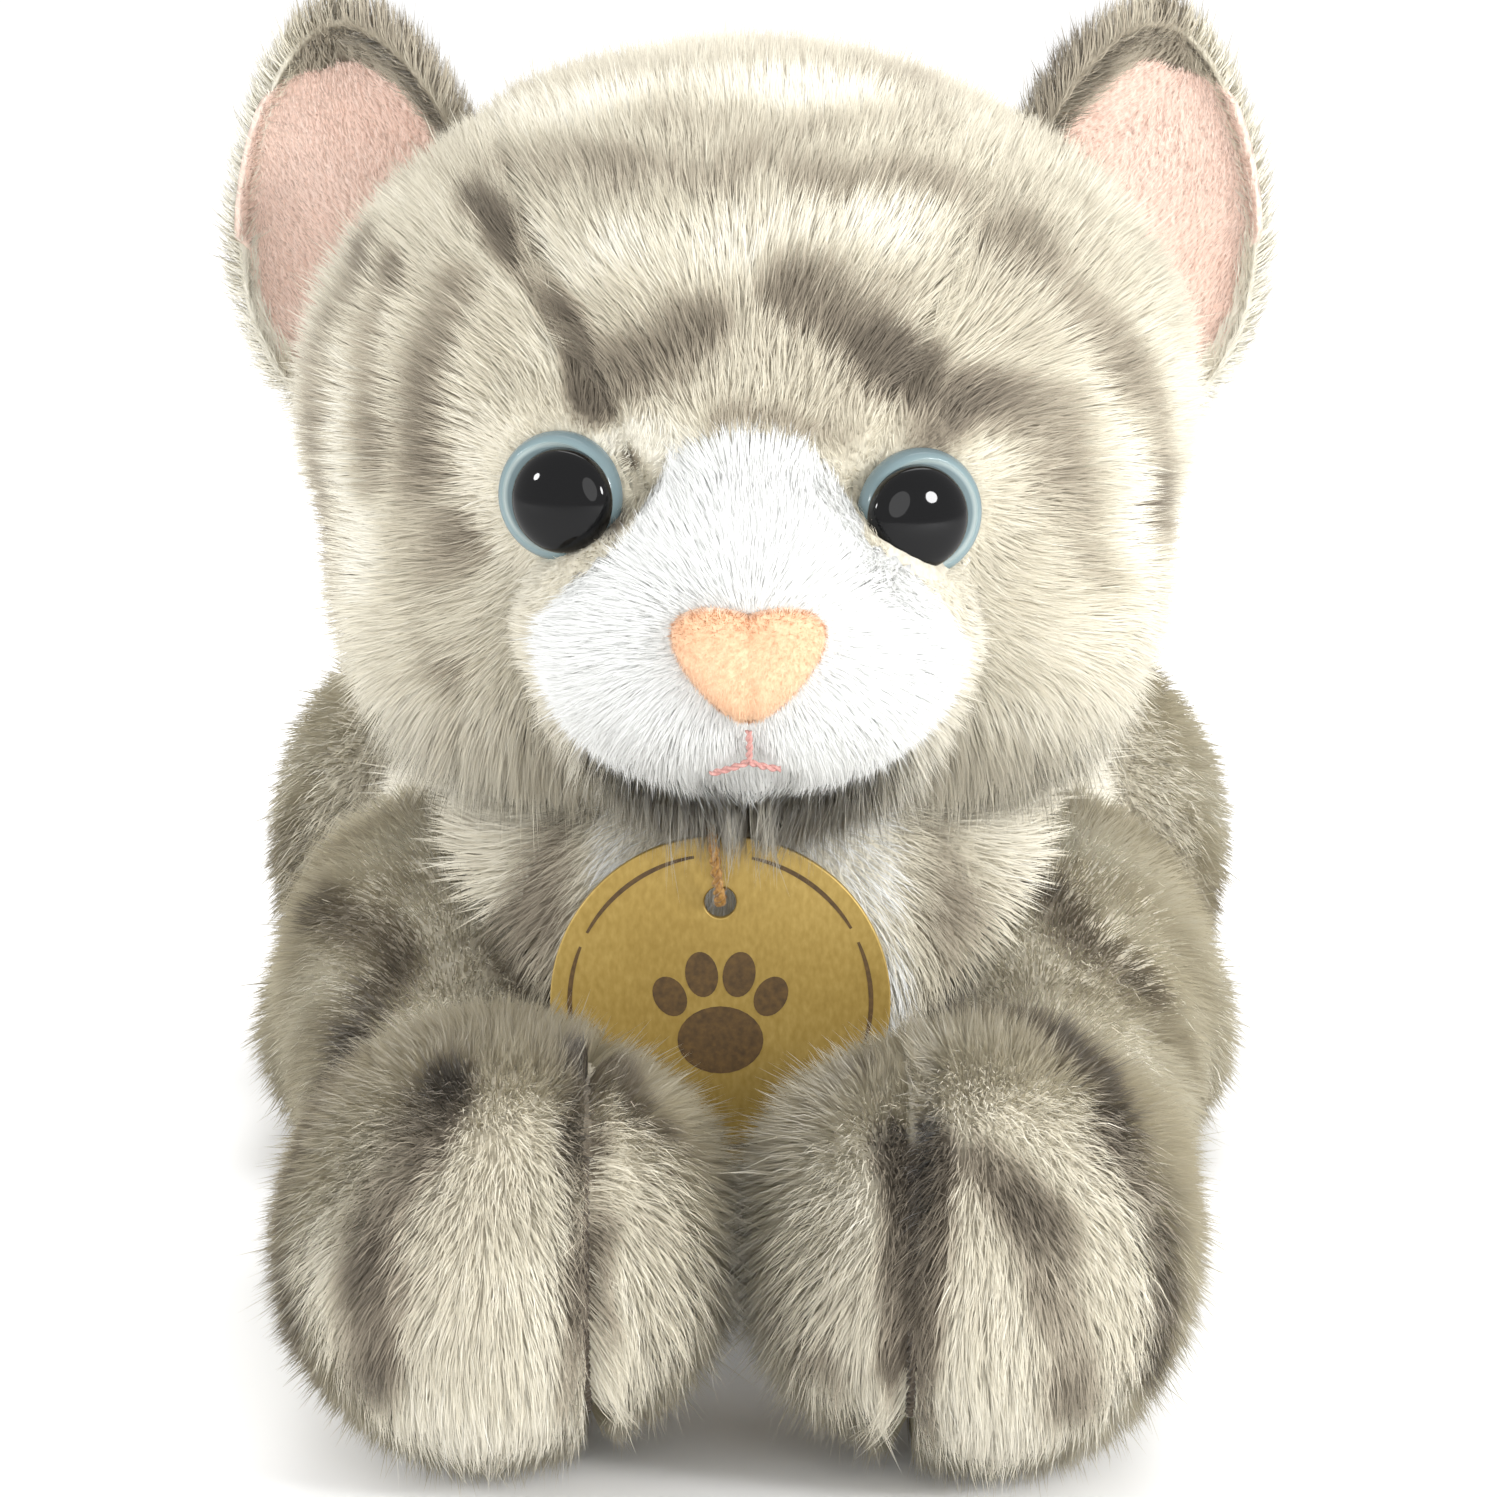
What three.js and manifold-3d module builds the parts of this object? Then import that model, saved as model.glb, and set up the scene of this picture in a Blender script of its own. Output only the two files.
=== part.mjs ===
// A lying plush kitten, in millimetres, +Z up. It faces -Y and lies on its belly on z = 0.
// Each sewn panel, stuffing, bean pouch, plastic eye piece and the swing tag is its own closed solid.
import * as THREE from "three";
import { mergeVertices } from "three/addons/utils/BufferGeometryUtils.js";
import Module from "manifold-3d";

const wasm = await Module();
wasm.setup();

// ---- driving dimensions ----
const FABRIC = 3.5; // plush fabric, backing and pile together
const GAP = 0.35; // clearance between two pieces that touch
const PLAY = 0.7; // clearance around a piece that moves
const FAR = 300; // half-spaces are boxes this large

const HEAD = {
  centre: [0, -38, 98],
  half: { side: 51, front: 47, back: 43, top: 42, bottom: 38 },
  muzzle: { centre: [0, -80, 79], half: [25, 21, 17.5] },
  brow: { centre: [0, -70, 92], half: [15, 18, 18] },
  blend: 6, // how softly the muzzle runs into the cheeks
  room: 5.2, // space under the head for it to turn and nod in
};
const GUSSET = { halfWidth: 16, height: 103, spread: 0.5 }; // its seams run apart upwards
const HEAD_BACK_SEAM = -12; // y of the seam behind the ears
const NECK = { pivot: [0, -32, 80], radius: 17, stem: 13.5, foot: 50, nod: 12 };
const EAR = {
  centre: [43, -31, 116.8], half: [17, 9, 25], taper: 0.2, lean: 0.12, toe: 0.3,
  back: 3, lining: 1.6, swing: 12, hinge: [40, -31, 111], base: [-0.74, 0, 0.67],
};
const EYE = {
  left: [-21.4, -84, 94.7], right: [19.3, -84, 92.9], turn: 0.36, lift: 0.06,
  rim: 6.9, pupil: 5.6, pupilShift: -0.7, sunk: 1, shank: 2, shankLength: 13, washer: 6.5, washerDepth: 7,
};
const NOSE = { z: 80, thickness: 1.8 };
const THREAD = 1; // width of an embroidered line
const TOE_SEAM = 16.3; // x of the stitched line down each forepaw

// Stations of a sewn tube: x, y, z of its middle, then half width and half height
const TORSO = [
  [0, -76.5, 43, 28, 27], [0, -52, 41, 37, 34], [0, -22, 38, 42, 38.5], [0, 12, 37, 44, 39],
  [0, 46, 37, 44, 39], [0, 74, 36, 37, 35], [0, 98, 34, 29, 29],
];
const FORELEG = { // the soft paws lie together, a little towards the left
  left: [
    [-30.5, -10, 30, 24, 24], [-30.5, -36, 30, 24, 24], [-32, -62, 23, 18.5, 20],
    [-33, -83, 19.5, 15, 17], [-27.3, -108, 23.6, 23, 24.2], [-25.2, -142, 23.6, 23.3, 24.2],
  ],
  right: [
    [30.5, -10, 30, 24, 24], [30.5, -36, 30, 24, 24], [32, -62, 23, 18.5, 20],
    [32.4, -83, 19.5, 15, 17], [25.2, -108, 23.6, 22.8, 24.2], [22.7, -142, 23.6, 22.8, 24.2],
  ],
};
const SHOULDER = { x: 30.5, y: -34, swing: 16 };
const HIP = { x: 35, y: 54, swing: 12 };
const THIGH = { centre: [35, 54, 27.5], half: [27, 27, 29.5] };
const HIND_FOOT = [[41, 44, 15, 15, 15.5], [45.5, 16, 14.5, 14, 15], [46.5, -7, 14.5, 15, 15.5]];
const TAIL = [
  [0, 83, 35, 12, 12], [2, 99, 26, 12, 12], [12, 119, 13.5, 11.5, 12], [33, 130.5, 12, 11, 12.2],
  [52, 128, 11.5, 10, 11.7],
];
const DOCK = { x: 1, y: 95, swing: 12 };
const TAG = { centre: [-3, -79.6, 40], radius: 18.2, thickness: 1, hole: 1.7, drop: 7.3 };
const CORD_RADIUS = 0.6;
const CORD = [ // from the chest seam, over the tag's rim, through its hole and back
  [-4.8, -73.2, 58.4], [-4.7, -75.6, 59.8], [-4.4, -78.4, 60.5], [-4, -81.2, 60],
  [-3.7, -82.8, 57.8], [-3.4, -82.9, 54.7], [-3.1, -81.6, 51.9], [-3, -79.6, 50.9],
  [-2.8, -77.7, 51.9], [-2.4, -76.9, 54.4], [-1.9, -76.1, 57.0], [-1.5, -74.4, 58.6],
  [-1.3, -72.6, 58.9],
];
const LABEL = { x: -17, reach: 112, low: 14, high: 32, thickness: 1 };

// ---- solids ----
function solid(geometry) {
  const bare = geometry.index ? geometry.toNonIndexed() : geometry.clone();
  bare.deleteAttribute("normal");
  bare.deleteAttribute("uv");
  const welded = mergeVertices(bare, 1e-4);
  return new wasm.Manifold(new wasm.Mesh({
    numProp: 3,
    vertProperties: new Float32Array(welded.attributes.position.array),
    triVerts: new Uint32Array(welded.index.array),
  }));
}

function box(low, high) {
  const size = high.map((value, axis) => value - low[axis]);
  const middle = high.map((value, axis) => (value + low[axis]) / 2);
  return solid(new THREE.BoxGeometry(...size).translate(...middle));
}

const above = (z) => box([-FAR, -FAR, z], [FAR, FAR, FAR]);
const behind = (y) => box([-FAR, y, -FAR], [FAR, FAR, FAR]);
const beside = (sign) => (sign < 0 // one side of the centre seam
  ? box([-FAR, -FAR, -FAR], [-GAP / 2, FAR, FAR])
  : box([GAP / 2, -FAR, -FAR], [FAR, FAR, FAR]));

function ball(centre, half, grow = 0) {
  const round = new THREE.SphereGeometry(1, 12, 8);
  return round.scale(...half.map((value) => value + grow)).translate(...centre);
}

const ellipsoid = (centre, half, grow) => solid(ball(centre, half, grow));

// A solid of revolution about +Z from a profile of [radius, z] pairs that starts and ends on the axis
function turned(profile, segments = 12) {
  const points = profile.map(([radius, z]) => new THREE.Vector2(radius, z));
  return new THREE.LatheGeometry(points, segments).rotateX(Math.PI / 2);
}

// A flat outline in x and z, extruded along y between two depths
function prism(shape, front, back, curveSegments = 6) {
  const options = { depth: back - front, bevelEnabled: false, curveSegments };
  const flat = new THREE.ExtrudeGeometry(shape, options);
  return flat.rotateX(Math.PI / 2).translate(0, back, 0);
}

// A sewn tube through its stations with round ends, grown outwards by grow; inner layers are coarser
function tube(stations, grow, outerRings, outerSides) {
  const [rings, sides] = [outerRings, outerSides].map((count) => (grow < 0 ? count - 3 : count));
  const line = new THREE.CatmullRomCurve3(
    stations.map(([x, y, z]) => new THREE.Vector3(x, y, z)), false, "centripetal");
  const sizes = new THREE.CatmullRomCurve3(
    stations.map(([, , , wide, high]) => new THREE.Vector3(wide, high, 0)), false, "centripetal");
  const length = line.getLength();
  const endRadii = [stations[0], stations[stations.length - 1]].map(([, , , wide, high]) =>
    (wide + high) / 2 + grow);
  const positions = [];
  for (let ring = 0; ring <= rings; ring++) {
    const s = -grow + (length + 2 * grow) * (1 - Math.cos(Math.PI * ring / rings)) / 2;
    const along = THREE.MathUtils.clamp(s / length, 0, 1);
    const tangent = line.getTangentAt(along);
    const middle = line.getPointAt(along).addScaledVector(tangent, s - along * length);
    const size = sizes.getPoint(line.getUtoTmapping(along));
    const taper = [s + grow, length + grow - s].reduce((product, from, end) => {
      const part = THREE.MathUtils.clamp(from / endRadii[end], 0, 1);
      return product * Math.sqrt(part * (2 - part));
    }, 1);
    const side = new THREE.Vector3().crossVectors(tangent, new THREE.Vector3(0, 0, 1)).normalize();
    const over = new THREE.Vector3().crossVectors(side, tangent);
    for (let corner = 0; corner < sides; corner++) {
      const angle = 2 * Math.PI * corner / sides;
      const point = middle.clone()
        .addScaledVector(side, Math.cos(angle) * (size.x + grow) * taper)
        .addScaledVector(over, Math.sin(angle) * (size.y + grow) * taper);
      positions.push(point.x, point.y, point.z);
    }
  }
  const indices = [];
  for (let ring = 0; ring < rings; ring++) {
    for (let corner = 0; corner < sides; corner++) {
      const a = ring * sides + corner;
      const b = ring * sides + (corner + 1) % sides;
      if (ring > 0) indices.push(a, a + sides, b);
      if (ring < rings - 1) indices.push(b, a + sides, b + sides);
    }
  }
  const geometry = new THREE.BufferGeometry();
  geometry.setAttribute("position", new THREE.Float32BufferAttribute(positions, 3));
  geometry.setIndex(indices);
  return geometry;
}

// ---- the head's round form: a distance from its centre in each direction ----
function reach(direction, { centre, half }) {
  const from = centre.map((value, axis) => (HEAD.centre[axis] - value) / half[axis]);
  const step = direction.map((value, axis) => value / half[axis]);
  const dot = (u, v) => u[0] * v[0] + u[1] * v[1] + u[2] * v[2];
  const a = dot(step, step);
  const b = dot(step, from);
  const under = b * b - a * (dot(from, from) - 1);
  return under > 0 ? (-b + Math.sqrt(under)) / a : 0;
}

function softer(a, b) {
  const near = Math.max(HEAD.blend - Math.abs(a - b), 0) / HEAD.blend;
  return Math.max(a, b) + near * near * HEAD.blend / 4;
}

function headRadius([x, y, z]) {
  const { side, front, back, top, bottom } = HEAD.half;
  const skull = 1 / Math.hypot(x / side, y / (y < 0 ? front : back), z / (z > 0 ? top : bottom));
  return [HEAD.brow, HEAD.muzzle].reduce((radius, form) => softer(radius, reach([x, y, z], form)), skull);
}

function head(grow, coarse = grow < 0) {
  const [around, down] = coarse ? [15, 12] : [20, 16];
  const geometry = new THREE.SphereGeometry(1, around, down);
  const place = geometry.attributes.position;
  for (let i = 0; i < place.count; i++) {
    const direction = [place.getX(i), place.getY(i), place.getZ(i)];
    const radius = headRadius(direction) + grow;
    place.setXYZ(i, ...direction.map((value, axis) => HEAD.centre[axis] + value * radius));
  }
  return geometry;
}

function largest(body) {
  return body.decompose().reduce((best, piece) => (piece.volume() > best.volume() ? piece : best));
}

const join = (...bodies) => bodies.reduce((whole, body) => whole.add(body));

// ---- the group ----
const cat = new THREE.Group();

const LOOKS = {
  tabby: { color: 0xb4afa2, roughness: 0.95, metalness: 0 },
  white: { color: 0xecebe6, roughness: 0.95, metalness: 0 },
  pink: { color: 0xe6bdb2, roughness: 0.9, metalness: 0 },
  peach: { color: 0xf0c39a, roughness: 0.9, metalness: 0 },
  thread: { color: 0xd88a90, roughness: 0.8, metalness: 0 },
  darkThread: { color: 0x6f675c, roughness: 0.8, metalness: 0 },
  stuffing: { color: 0xf6f4ee, roughness: 1, metalness: 0 },
  beans: { color: 0xdedbd0, roughness: 0.9, metalness: 0 },
  iris: { color: 0x9fb4b8, roughness: 0.15, metalness: 0 },
  pupil: { color: 0x0a0a0c, roughness: 0.05, metalness: 0 },
  washer: { color: 0xe8e8e4, roughness: 0.5, metalness: 0 },
  gold: { color: 0xb8983f, roughness: 0.35, metalness: 0.6 },
  cord: { color: 0x9a6f2a, roughness: 0.6, metalness: 0.2 },
  satin: { color: 0xf4f2ee, roughness: 0.5, metalness: 0 },
};

function place(name, body, look) {
  const { numProp, vertProperties, triVerts } = body.getMesh();
  const geometry = new THREE.BufferGeometry();
  const positions = new Float32Array(vertProperties.length / numProp * 3);
  for (let i = 0; i < positions.length / 3; i++) {
    for (let axis = 0; axis < 3; axis++) positions[3 * i + axis] = vertProperties[i * numProp + axis];
  }
  geometry.setAttribute("position", new THREE.BufferAttribute(positions, 3));
  geometry.setIndex(new THREE.BufferAttribute(new Uint32Array(triVerts), 1));
  geometry.computeVertexNormals();
  const mesh = new THREE.Mesh(geometry, new THREE.MeshStandardMaterial(LOOKS[look]));
  mesh.name = name;
  cat.add(mesh);
}

const SIDES = [["left", -1], ["right", 1]];
const mirrored = (stations, sign) => stations.map(([x, ...rest]) => [x * sign, ...rest]);
const flip = ([x, y, z], sign) => [x * sign, y, z];

// ---- neck: a stuffed stem that turns in the body and carries the head's nod ----
function neckShape(grow) {
  const [, , pivotZ] = NECK.pivot;
  const radius = NECK.radius + grow;
  const stem = NECK.stem + grow;
  const start = Math.asin(stem / radius);
  const profile = [[0, NECK.foot - grow], [stem - 3, NECK.foot - grow], [stem, NECK.foot + 3]];
  for (let step = 0; step <= 6; step++) {
    const angle = start + (Math.PI - start) * step / 6;
    profile.push([step === 6 ? 0 : radius * Math.sin(angle), pivotZ - radius * Math.cos(angle)]);
  }
  return turned(profile).translate(NECK.pivot[0], NECK.pivot[1], 0);
}

// Inside the head the stem's room is a ball with a funnel below it, wide enough for the nod
function neckRoomShape() {
  const radius = NECK.radius + PLAY;
  const drop = NECK.pivot[2] - NECK.foot;
  const mouth = NECK.stem + PLAY + drop * Math.sin(THREE.MathUtils.degToRad(NECK.nod));
  const profile = [[0, NECK.foot], [mouth, NECK.foot]];
  for (let step = 0; step <= 5; step++) {
    const angle = Math.PI / 2 * (1 + step / 5);
    profile.push([step === 5 ? 0 : radius * Math.sin(angle), NECK.pivot[2] - radius * Math.cos(angle)]);
  }
  return turned(profile).translate(NECK.pivot[0], NECK.pivot[1], 0);
}

const neckRoom = solid(neckRoomShape());
place("neck_stuffing", solid(neckShape(0)), "stuffing");

// ---- eyes: a moulded iris cup and shank, a domed pupil, and a lock washer behind the fabric ----
function onHead(point) {
  const from = new THREE.Vector3(...point).sub(new THREE.Vector3(...HEAD.centre)).normalize();
  return new THREE.Vector3(...HEAD.centre).addScaledVector(from, headRadius(from.toArray()));
}

function eyeFrame(sign) {
  const facing = new THREE.Vector3(
    sign * Math.sin(EYE.turn), -Math.cos(EYE.turn), Math.sin(EYE.lift)).normalize();
  const turn = new THREE.Quaternion().setFromUnitVectors(new THREE.Vector3(0, 0, 1), facing);
  const seat = onHead(sign < 0 ? EYE.left : EYE.right).addScaledVector(facing, -EYE.sunk);
  return new THREE.Matrix4().compose(seat, turn, new THREE.Vector3(1, 1, 1));
}

const IRIS_PROFILE = [
  [0, -EYE.shankLength], [EYE.shank, -EYE.shankLength], [EYE.shank, -1.2], [EYE.rim - 0.5, -1.2],
  [EYE.rim, -0.3], [EYE.rim, 0.7], [EYE.rim - 0.8, 2], [0, 2],
];
const PUPIL_PROFILE = [[0, 2 + GAP], [EYE.pupil, 2 + GAP], [5.45, 3.1], [4.3, 4.2], [2.4, 4.95], [0, 5.2]];
const WASHER_PROFILE = [
  [EYE.shank + GAP, 0], [EYE.washer, 0], [EYE.washer, 1.2], [EYE.shank + GAP, 1.2], [EYE.shank + GAP, 0],
];
const SOCKET_PROFILE = [
  [0, -EYE.shankLength - 1], [EYE.shank + GAP, -EYE.shankLength - 1], [EYE.shank + GAP, -1.6],
  [EYE.rim + GAP, -1.6], [EYE.rim + GAP, 9], [0, 9],
];
const POCKET_PROFILE = [
  [0, -EYE.shankLength - 1], [EYE.shank + GAP, -EYE.shankLength - 1],
  [EYE.shank + GAP, -EYE.washerDepth - GAP], [EYE.rim + GAP, -EYE.washerDepth - GAP],
  [EYE.rim + GAP, 4], [0, 4],
];

function eyePiece(profile, sign, shift = 0, lift = 0, segments = 12) {
  return solid(turned(profile, segments).translate(shift, 0, lift).applyMatrix4(eyeFrame(sign)));
}

const eyeSockets = join(...SIDES.map(([, sign]) => eyePiece(SOCKET_PROFILE, sign)));
const eyePockets = join(...SIDES.map(([, sign]) => eyePiece(POCKET_PROFILE, sign)));
for (const [name, sign] of SIDES) {
  place(`${name}_eye_iris`, eyePiece(IRIS_PROFILE, sign), "iris");
  place(`${name}_eye_pupil`, eyePiece(PUPIL_PROFILE, sign, sign * EYE.pupilShift), "pupil");
  place(`${name}_eye_washer`, eyePiece(WASHER_PROFILE, sign, 0, -EYE.washerDepth, 16), "washer");
}

// ---- head panels over their stuffing ----
const headShell = solid(head(0)).subtract(solid(head(-FABRIC))).subtract(neckRoom).subtract(eyeSockets);

function muzzleRegion(grow) {
  return join(
    ellipsoid([0, -97, 77.5], [24, 30, 17.5], grow),
    ellipsoid([0, -92, 90], [10, 22, 12], grow));
}

// The wedge between the two seams that run from the inner eye corners up to the ears
function gussetRegion(grow) {
  const { halfWidth, height, spread } = GUSSET;
  const wide = (z) => halfWidth + spread * (z - height) + grow;
  const [low, high] = [height - 12, 150];
  const shape = new THREE.Shape([
    new THREE.Vector2(-wide(low), low), new THREE.Vector2(wide(low), low),
    new THREE.Vector2(wide(high), high), new THREE.Vector2(-wide(high), high),
  ]);
  return solid(prism(shape, -FAR, HEAD_BACK_SEAM + grow));
}

const aroundMuzzle = headShell.subtract(muzzleRegion(GAP));
const front = aroundMuzzle.subtract(behind(HEAD_BACK_SEAM));
const cheeks = front.subtract(gussetRegion(GAP));
place("muzzle_panel", largest(headShell.intersect(muzzleRegion(0))), "white");
place("forehead_gusset", largest(front.intersect(gussetRegion(0))), "tabby");
place("head_back_panel", largest(aroundMuzzle.intersect(behind(HEAD_BACK_SEAM + GAP))), "tabby");
for (const [name, sign] of SIDES) {
  place(`${name}_cheek_panel`, largest(cheeks.intersect(beside(sign))), "tabby");
}
place("head_stuffing",
  largest(solid(head(-FABRIC - GAP)).subtract(neckRoom).subtract(eyePockets)), "stuffing");

// ---- nose patch and stitched mouth, each a thin layer that follows the muzzle ----
function layerOnHead(shape, thickness) {
  return solid(prism(shape, -125, -90)).intersect(solid(head(thickness))).subtract(solid(head(GAP)));
}

const noseShape = new THREE.Shape();
noseShape.moveTo(0, NOSE.z + 4.6);
noseShape.bezierCurveTo(2.5, NOSE.z + 6.4, 7.9, NOSE.z + 6, 7.9, NOSE.z + 2.8);
noseShape.bezierCurveTo(7.9, NOSE.z + 0.5, 3.6, NOSE.z - 5.4, 0, NOSE.z - 5.6);
noseShape.bezierCurveTo(-3.6, NOSE.z - 5.4, -7.9, NOSE.z + 0.5, -7.9, NOSE.z + 2.8);
noseShape.bezierCurveTo(-7.9, NOSE.z + 6, -2.5, NOSE.z + 6.4, 0, NOSE.z + 4.6);
place("nose_patch", layerOnHead(noseShape, NOSE.thickness), "peach");

const mouthShape = new THREE.Shape([
  [-0.5, -6.6], [-0.5, -9.3], [-3.8, -10.9], [-3.4, -11.8], [0, -10.4], [3.4, -11.8], [3.8, -10.9],
  [0.5, -9.3], [0.5, -6.6],
].map(([x, z]) => new THREE.Vector2(x * THREAD, NOSE.z + z)));
place("mouth_stitching", layerOnHead(mouthShape, 1.1), "thread");

// ---- ears: a furred back and a pink lining, cupped, sewn along the base line ----
function earBowl(sign, outer, inner) {
  const cup = (thin) => {
    const geometry = new THREE.SphereGeometry(1, 12, 9);
    const place = geometry.attributes.position;
    for (let i = 0; i < place.count; i++) place.setX(i, place.getX(i) * (1 - EAR.taper * place.getY(i)));
    return geometry.rotateX(Math.PI / 2).scale(...EAR.half.map((value) => value - thin));
  };
  const set = (geometry) => solid(geometry
    .rotateY(EAR.lean * sign).rotateZ(EAR.toe * sign).translate(...flip(EAR.centre, sign)));
  const rear = new THREE.BoxGeometry(100, 100, 100).translate(0, 49, 0);
  return set(cup(outer)).intersect(set(rear)).subtract(set(cup(inner)));
}

function headNearEar(sign, degrees) {
  const hinge = new THREE.Vector3(...flip(EAR.hinge, sign));
  const axis = new THREE.Vector3(...flip(EAR.base, sign)).normalize();
  const turn = new THREE.Matrix4().makeRotationAxis(axis, THREE.MathUtils.degToRad(degrees));
  const geometry = head(PLAY).translate(...hinge.clone().negate().toArray());
  return solid(geometry.applyMatrix4(turn).translate(...hinge.toArray()));
}

for (const [name, sign] of SIDES) {
  const room = join(...[-EAR.swing, 0, EAR.swing].map((degrees) => headNearEar(sign, degrees)));
  const ear = (outer, inner) => largest(earBowl(sign, outer, inner).subtract(room));
  place(`${name}_ear_back`, ear(0, EAR.back), "tabby");
  place(`${name}_ear_lining`, ear(EAR.back + GAP, EAR.back + GAP + EAR.lining), "pink");
}

// ---- legs and tail ----
// A limb's form turned about the standing line its joint swings on
function turnedAbout([x, y], degrees, geometry) {
  return solid(geometry.translate(-x, -y, 0)
    .rotateZ(THREE.MathUtils.degToRad(degrees)).translate(x, y, 0));
}

const forelegTube = (sign, grow) => tube(sign < 0 ? FORELEG.left : FORELEG.right, grow, 12, 13);
const hindFootTube = (sign, grow) => tube(mirrored(HIND_FOOT, sign), grow, 7, 10);
const thighBall = (sign, grow) => ball(flip(THIGH.centre, sign), THIGH.half, grow);
const tailTube = (grow) => tube(TAIL, grow, 12, 10);
const rested = (body, grow) => body.intersect(above(Math.max(0, -grow))); // flat where it lies
const foreleg = (sign, grow) => rested(solid(forelegTube(sign, grow)), grow);
const tail = (grow) => rested(solid(tailTube(grow)), grow);

const hindLeg = (sign, grow) =>
  rested(solid(thighBall(sign, grow)).add(solid(hindFootTube(sign, grow))), grow);

// A sewn skin around its stuffing: open where it meets the body
function limb(name, form, opening, beans) {
  const skin = form(0).subtract(form(-FABRIC)).subtract(opening);
  place(`${name}_skin`, largest(skin), "tabby");
  let filling = form(-FABRIC - GAP);
  if (beans) {
    const pouch = (grow) => ellipsoid(beans.centre, beans.half, grow);
    place(`${name}_bean_pouch`, pouch(0).intersect(filling), "beans");
    filling = filling.subtract(pouch(GAP));
  }
  place(`${name}_stuffing`, largest(filling), "stuffing");
}

// A stitched line drawn on a limb's front, a thin layer that follows it
function toeStitch(form, x, back, low, high) {
  return largest(form(1.2).subtract(form(GAP))
    .intersect(box([x - THREAD / 2, -FAR, low], [x + THREAD / 2, back, high])));
}

for (const [name, sign] of SIDES) {
  const shoulderOpening = ellipsoid([sign * 16, -19, 30], [14, 14, 14]);
  limb(`${name}_foreleg`, (grow) => foreleg(sign, grow), shoulderOpening,
    { centre: [sign * 25 - 1, -117, 11], half: [13, 15, 9] });
  place(`${name}_toe_stitching`,
    toeStitch((grow) => foreleg(sign, grow), sign * TOE_SEAM, -122, 8, 44), "darkThread");
  const hipOpening = ellipsoid([sign * 14, 54, 30], [14, 16, 16]);
  limb(`${name}_hind_leg`, (grow) => hindLeg(sign, grow), hipOpening);
  place(`${name}_hind_toe_stitching`,
    toeStitch((grow) => hindLeg(sign, grow), sign * 46.5, 0, 5, 26), "darkThread");
}
limb("tail", tail, box([-FAR, -FAR, -FAR], [FAR, 87, FAR]));

// ---- body: side panels and a white belly and chest panel over the stuffing and its bean pouch ----
const stemRoom = solid(neckShape(PLAY));
const limbRooms = SIDES.flatMap(([, sign]) => [0, 0.5, 1].flatMap((part) => [
  turnedAbout([sign * SHOULDER.x, SHOULDER.y], sign * part * SHOULDER.swing, forelegTube(sign, PLAY)),
  turnedAbout([sign * HIP.x, HIP.y], sign * part * HIP.swing, hindFootTube(sign, PLAY)),
  turnedAbout([sign * HIP.x, HIP.y], sign * part * HIP.swing, thighBall(sign, PLAY)),
]));
const tailRooms = [-1, 0, 1].map((part) =>
  turnedAbout([DOCK.x, DOCK.y], part * DOCK.swing, tailTube(2 * PLAY)));
const rooms = join(stemRoom, ...tailRooms, ...limbRooms);

function torso(grow) {
  return solid(tube(TORSO, grow, 13, 17)).intersect(above(Math.max(0, -grow)))
    .subtract(solid(head(HEAD.room - grow, true)));
}

const bodyShell = torso(0).subtract(torso(-FABRIC)).subtract(rooms);
const bellyRegion = (grow) => join(
  box([-FAR, -FAR, -1], [FAR, FAR, 14 + grow]), box([-FAR, -FAR, -1], [FAR, -60 + grow, FAR]));
place("belly_panel", largest(bodyShell.intersect(bellyRegion(0))), "white");
for (const [name, sign] of SIDES) {
  const side = bodyShell.subtract(bellyRegion(GAP)).intersect(beside(sign));
  place(`${name}_body_panel`, largest(side), "tabby");
}
const bodyPouch = (grow) => ellipsoid([0, 34, 10], [20, 30, 10], grow);
const bodyFilling = torso(-FABRIC - GAP).subtract(rooms);
place("body_bean_pouch", bodyPouch(0).intersect(bodyFilling), "beans");
place("body_stuffing", largest(bodyFilling.subtract(bodyPouch(GAP))), "stuffing");

// ---- sewn-in care label, left of the tail ----
const labelPlate = box(
  [LABEL.x - LABEL.thickness / 2, 70, LABEL.low], [LABEL.x + LABEL.thickness / 2, LABEL.reach, LABEL.high]);
place("care_label", largest(labelPlate.subtract(solid(tube(TORSO, GAP, 13, 17)))), "satin");

// ---- swing tag on its cord ----
const tagShape = new THREE.Shape();
tagShape.absarc(TAG.centre[0], TAG.centre[2], TAG.radius, 0, 2 * Math.PI);
const tagHole = new THREE.Path();
tagHole.absarc(TAG.centre[0], TAG.centre[2] + TAG.radius - TAG.drop, TAG.hole, 0, 2 * Math.PI, true);
tagShape.holes.push(tagHole);
place("swing_tag", solid(prism(
  tagShape, TAG.centre[1] - TAG.thickness / 2, TAG.centre[1] + TAG.thickness / 2, 16)), "gold");

const cordSection = new THREE.Shape();
cordSection.absarc(0, 0, CORD_RADIUS, 0, 2 * Math.PI);
const cordLine = new THREE.CatmullRomCurve3(CORD.map((point) => new THREE.Vector3(...point)));
place("tag_cord", solid(new THREE.ExtrudeGeometry(
  cordSection, { steps: 24, curveSegments: 4, extrudePath: cordLine, bevelEnabled: false })), "cord");

export default cat;
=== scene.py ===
"""A lying plush kitten with tabby pile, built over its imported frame. The toy's lengths are in
millimetres and its meshes are written out in metres. The studio's lengths are in metres."""
import math
from collections import namedtuple
from contextlib import contextmanager

import bmesh
import bpy
import numpy as np
from mathutils import Matrix, Vector
from mathutils.bvhtree import BVHTree


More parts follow.
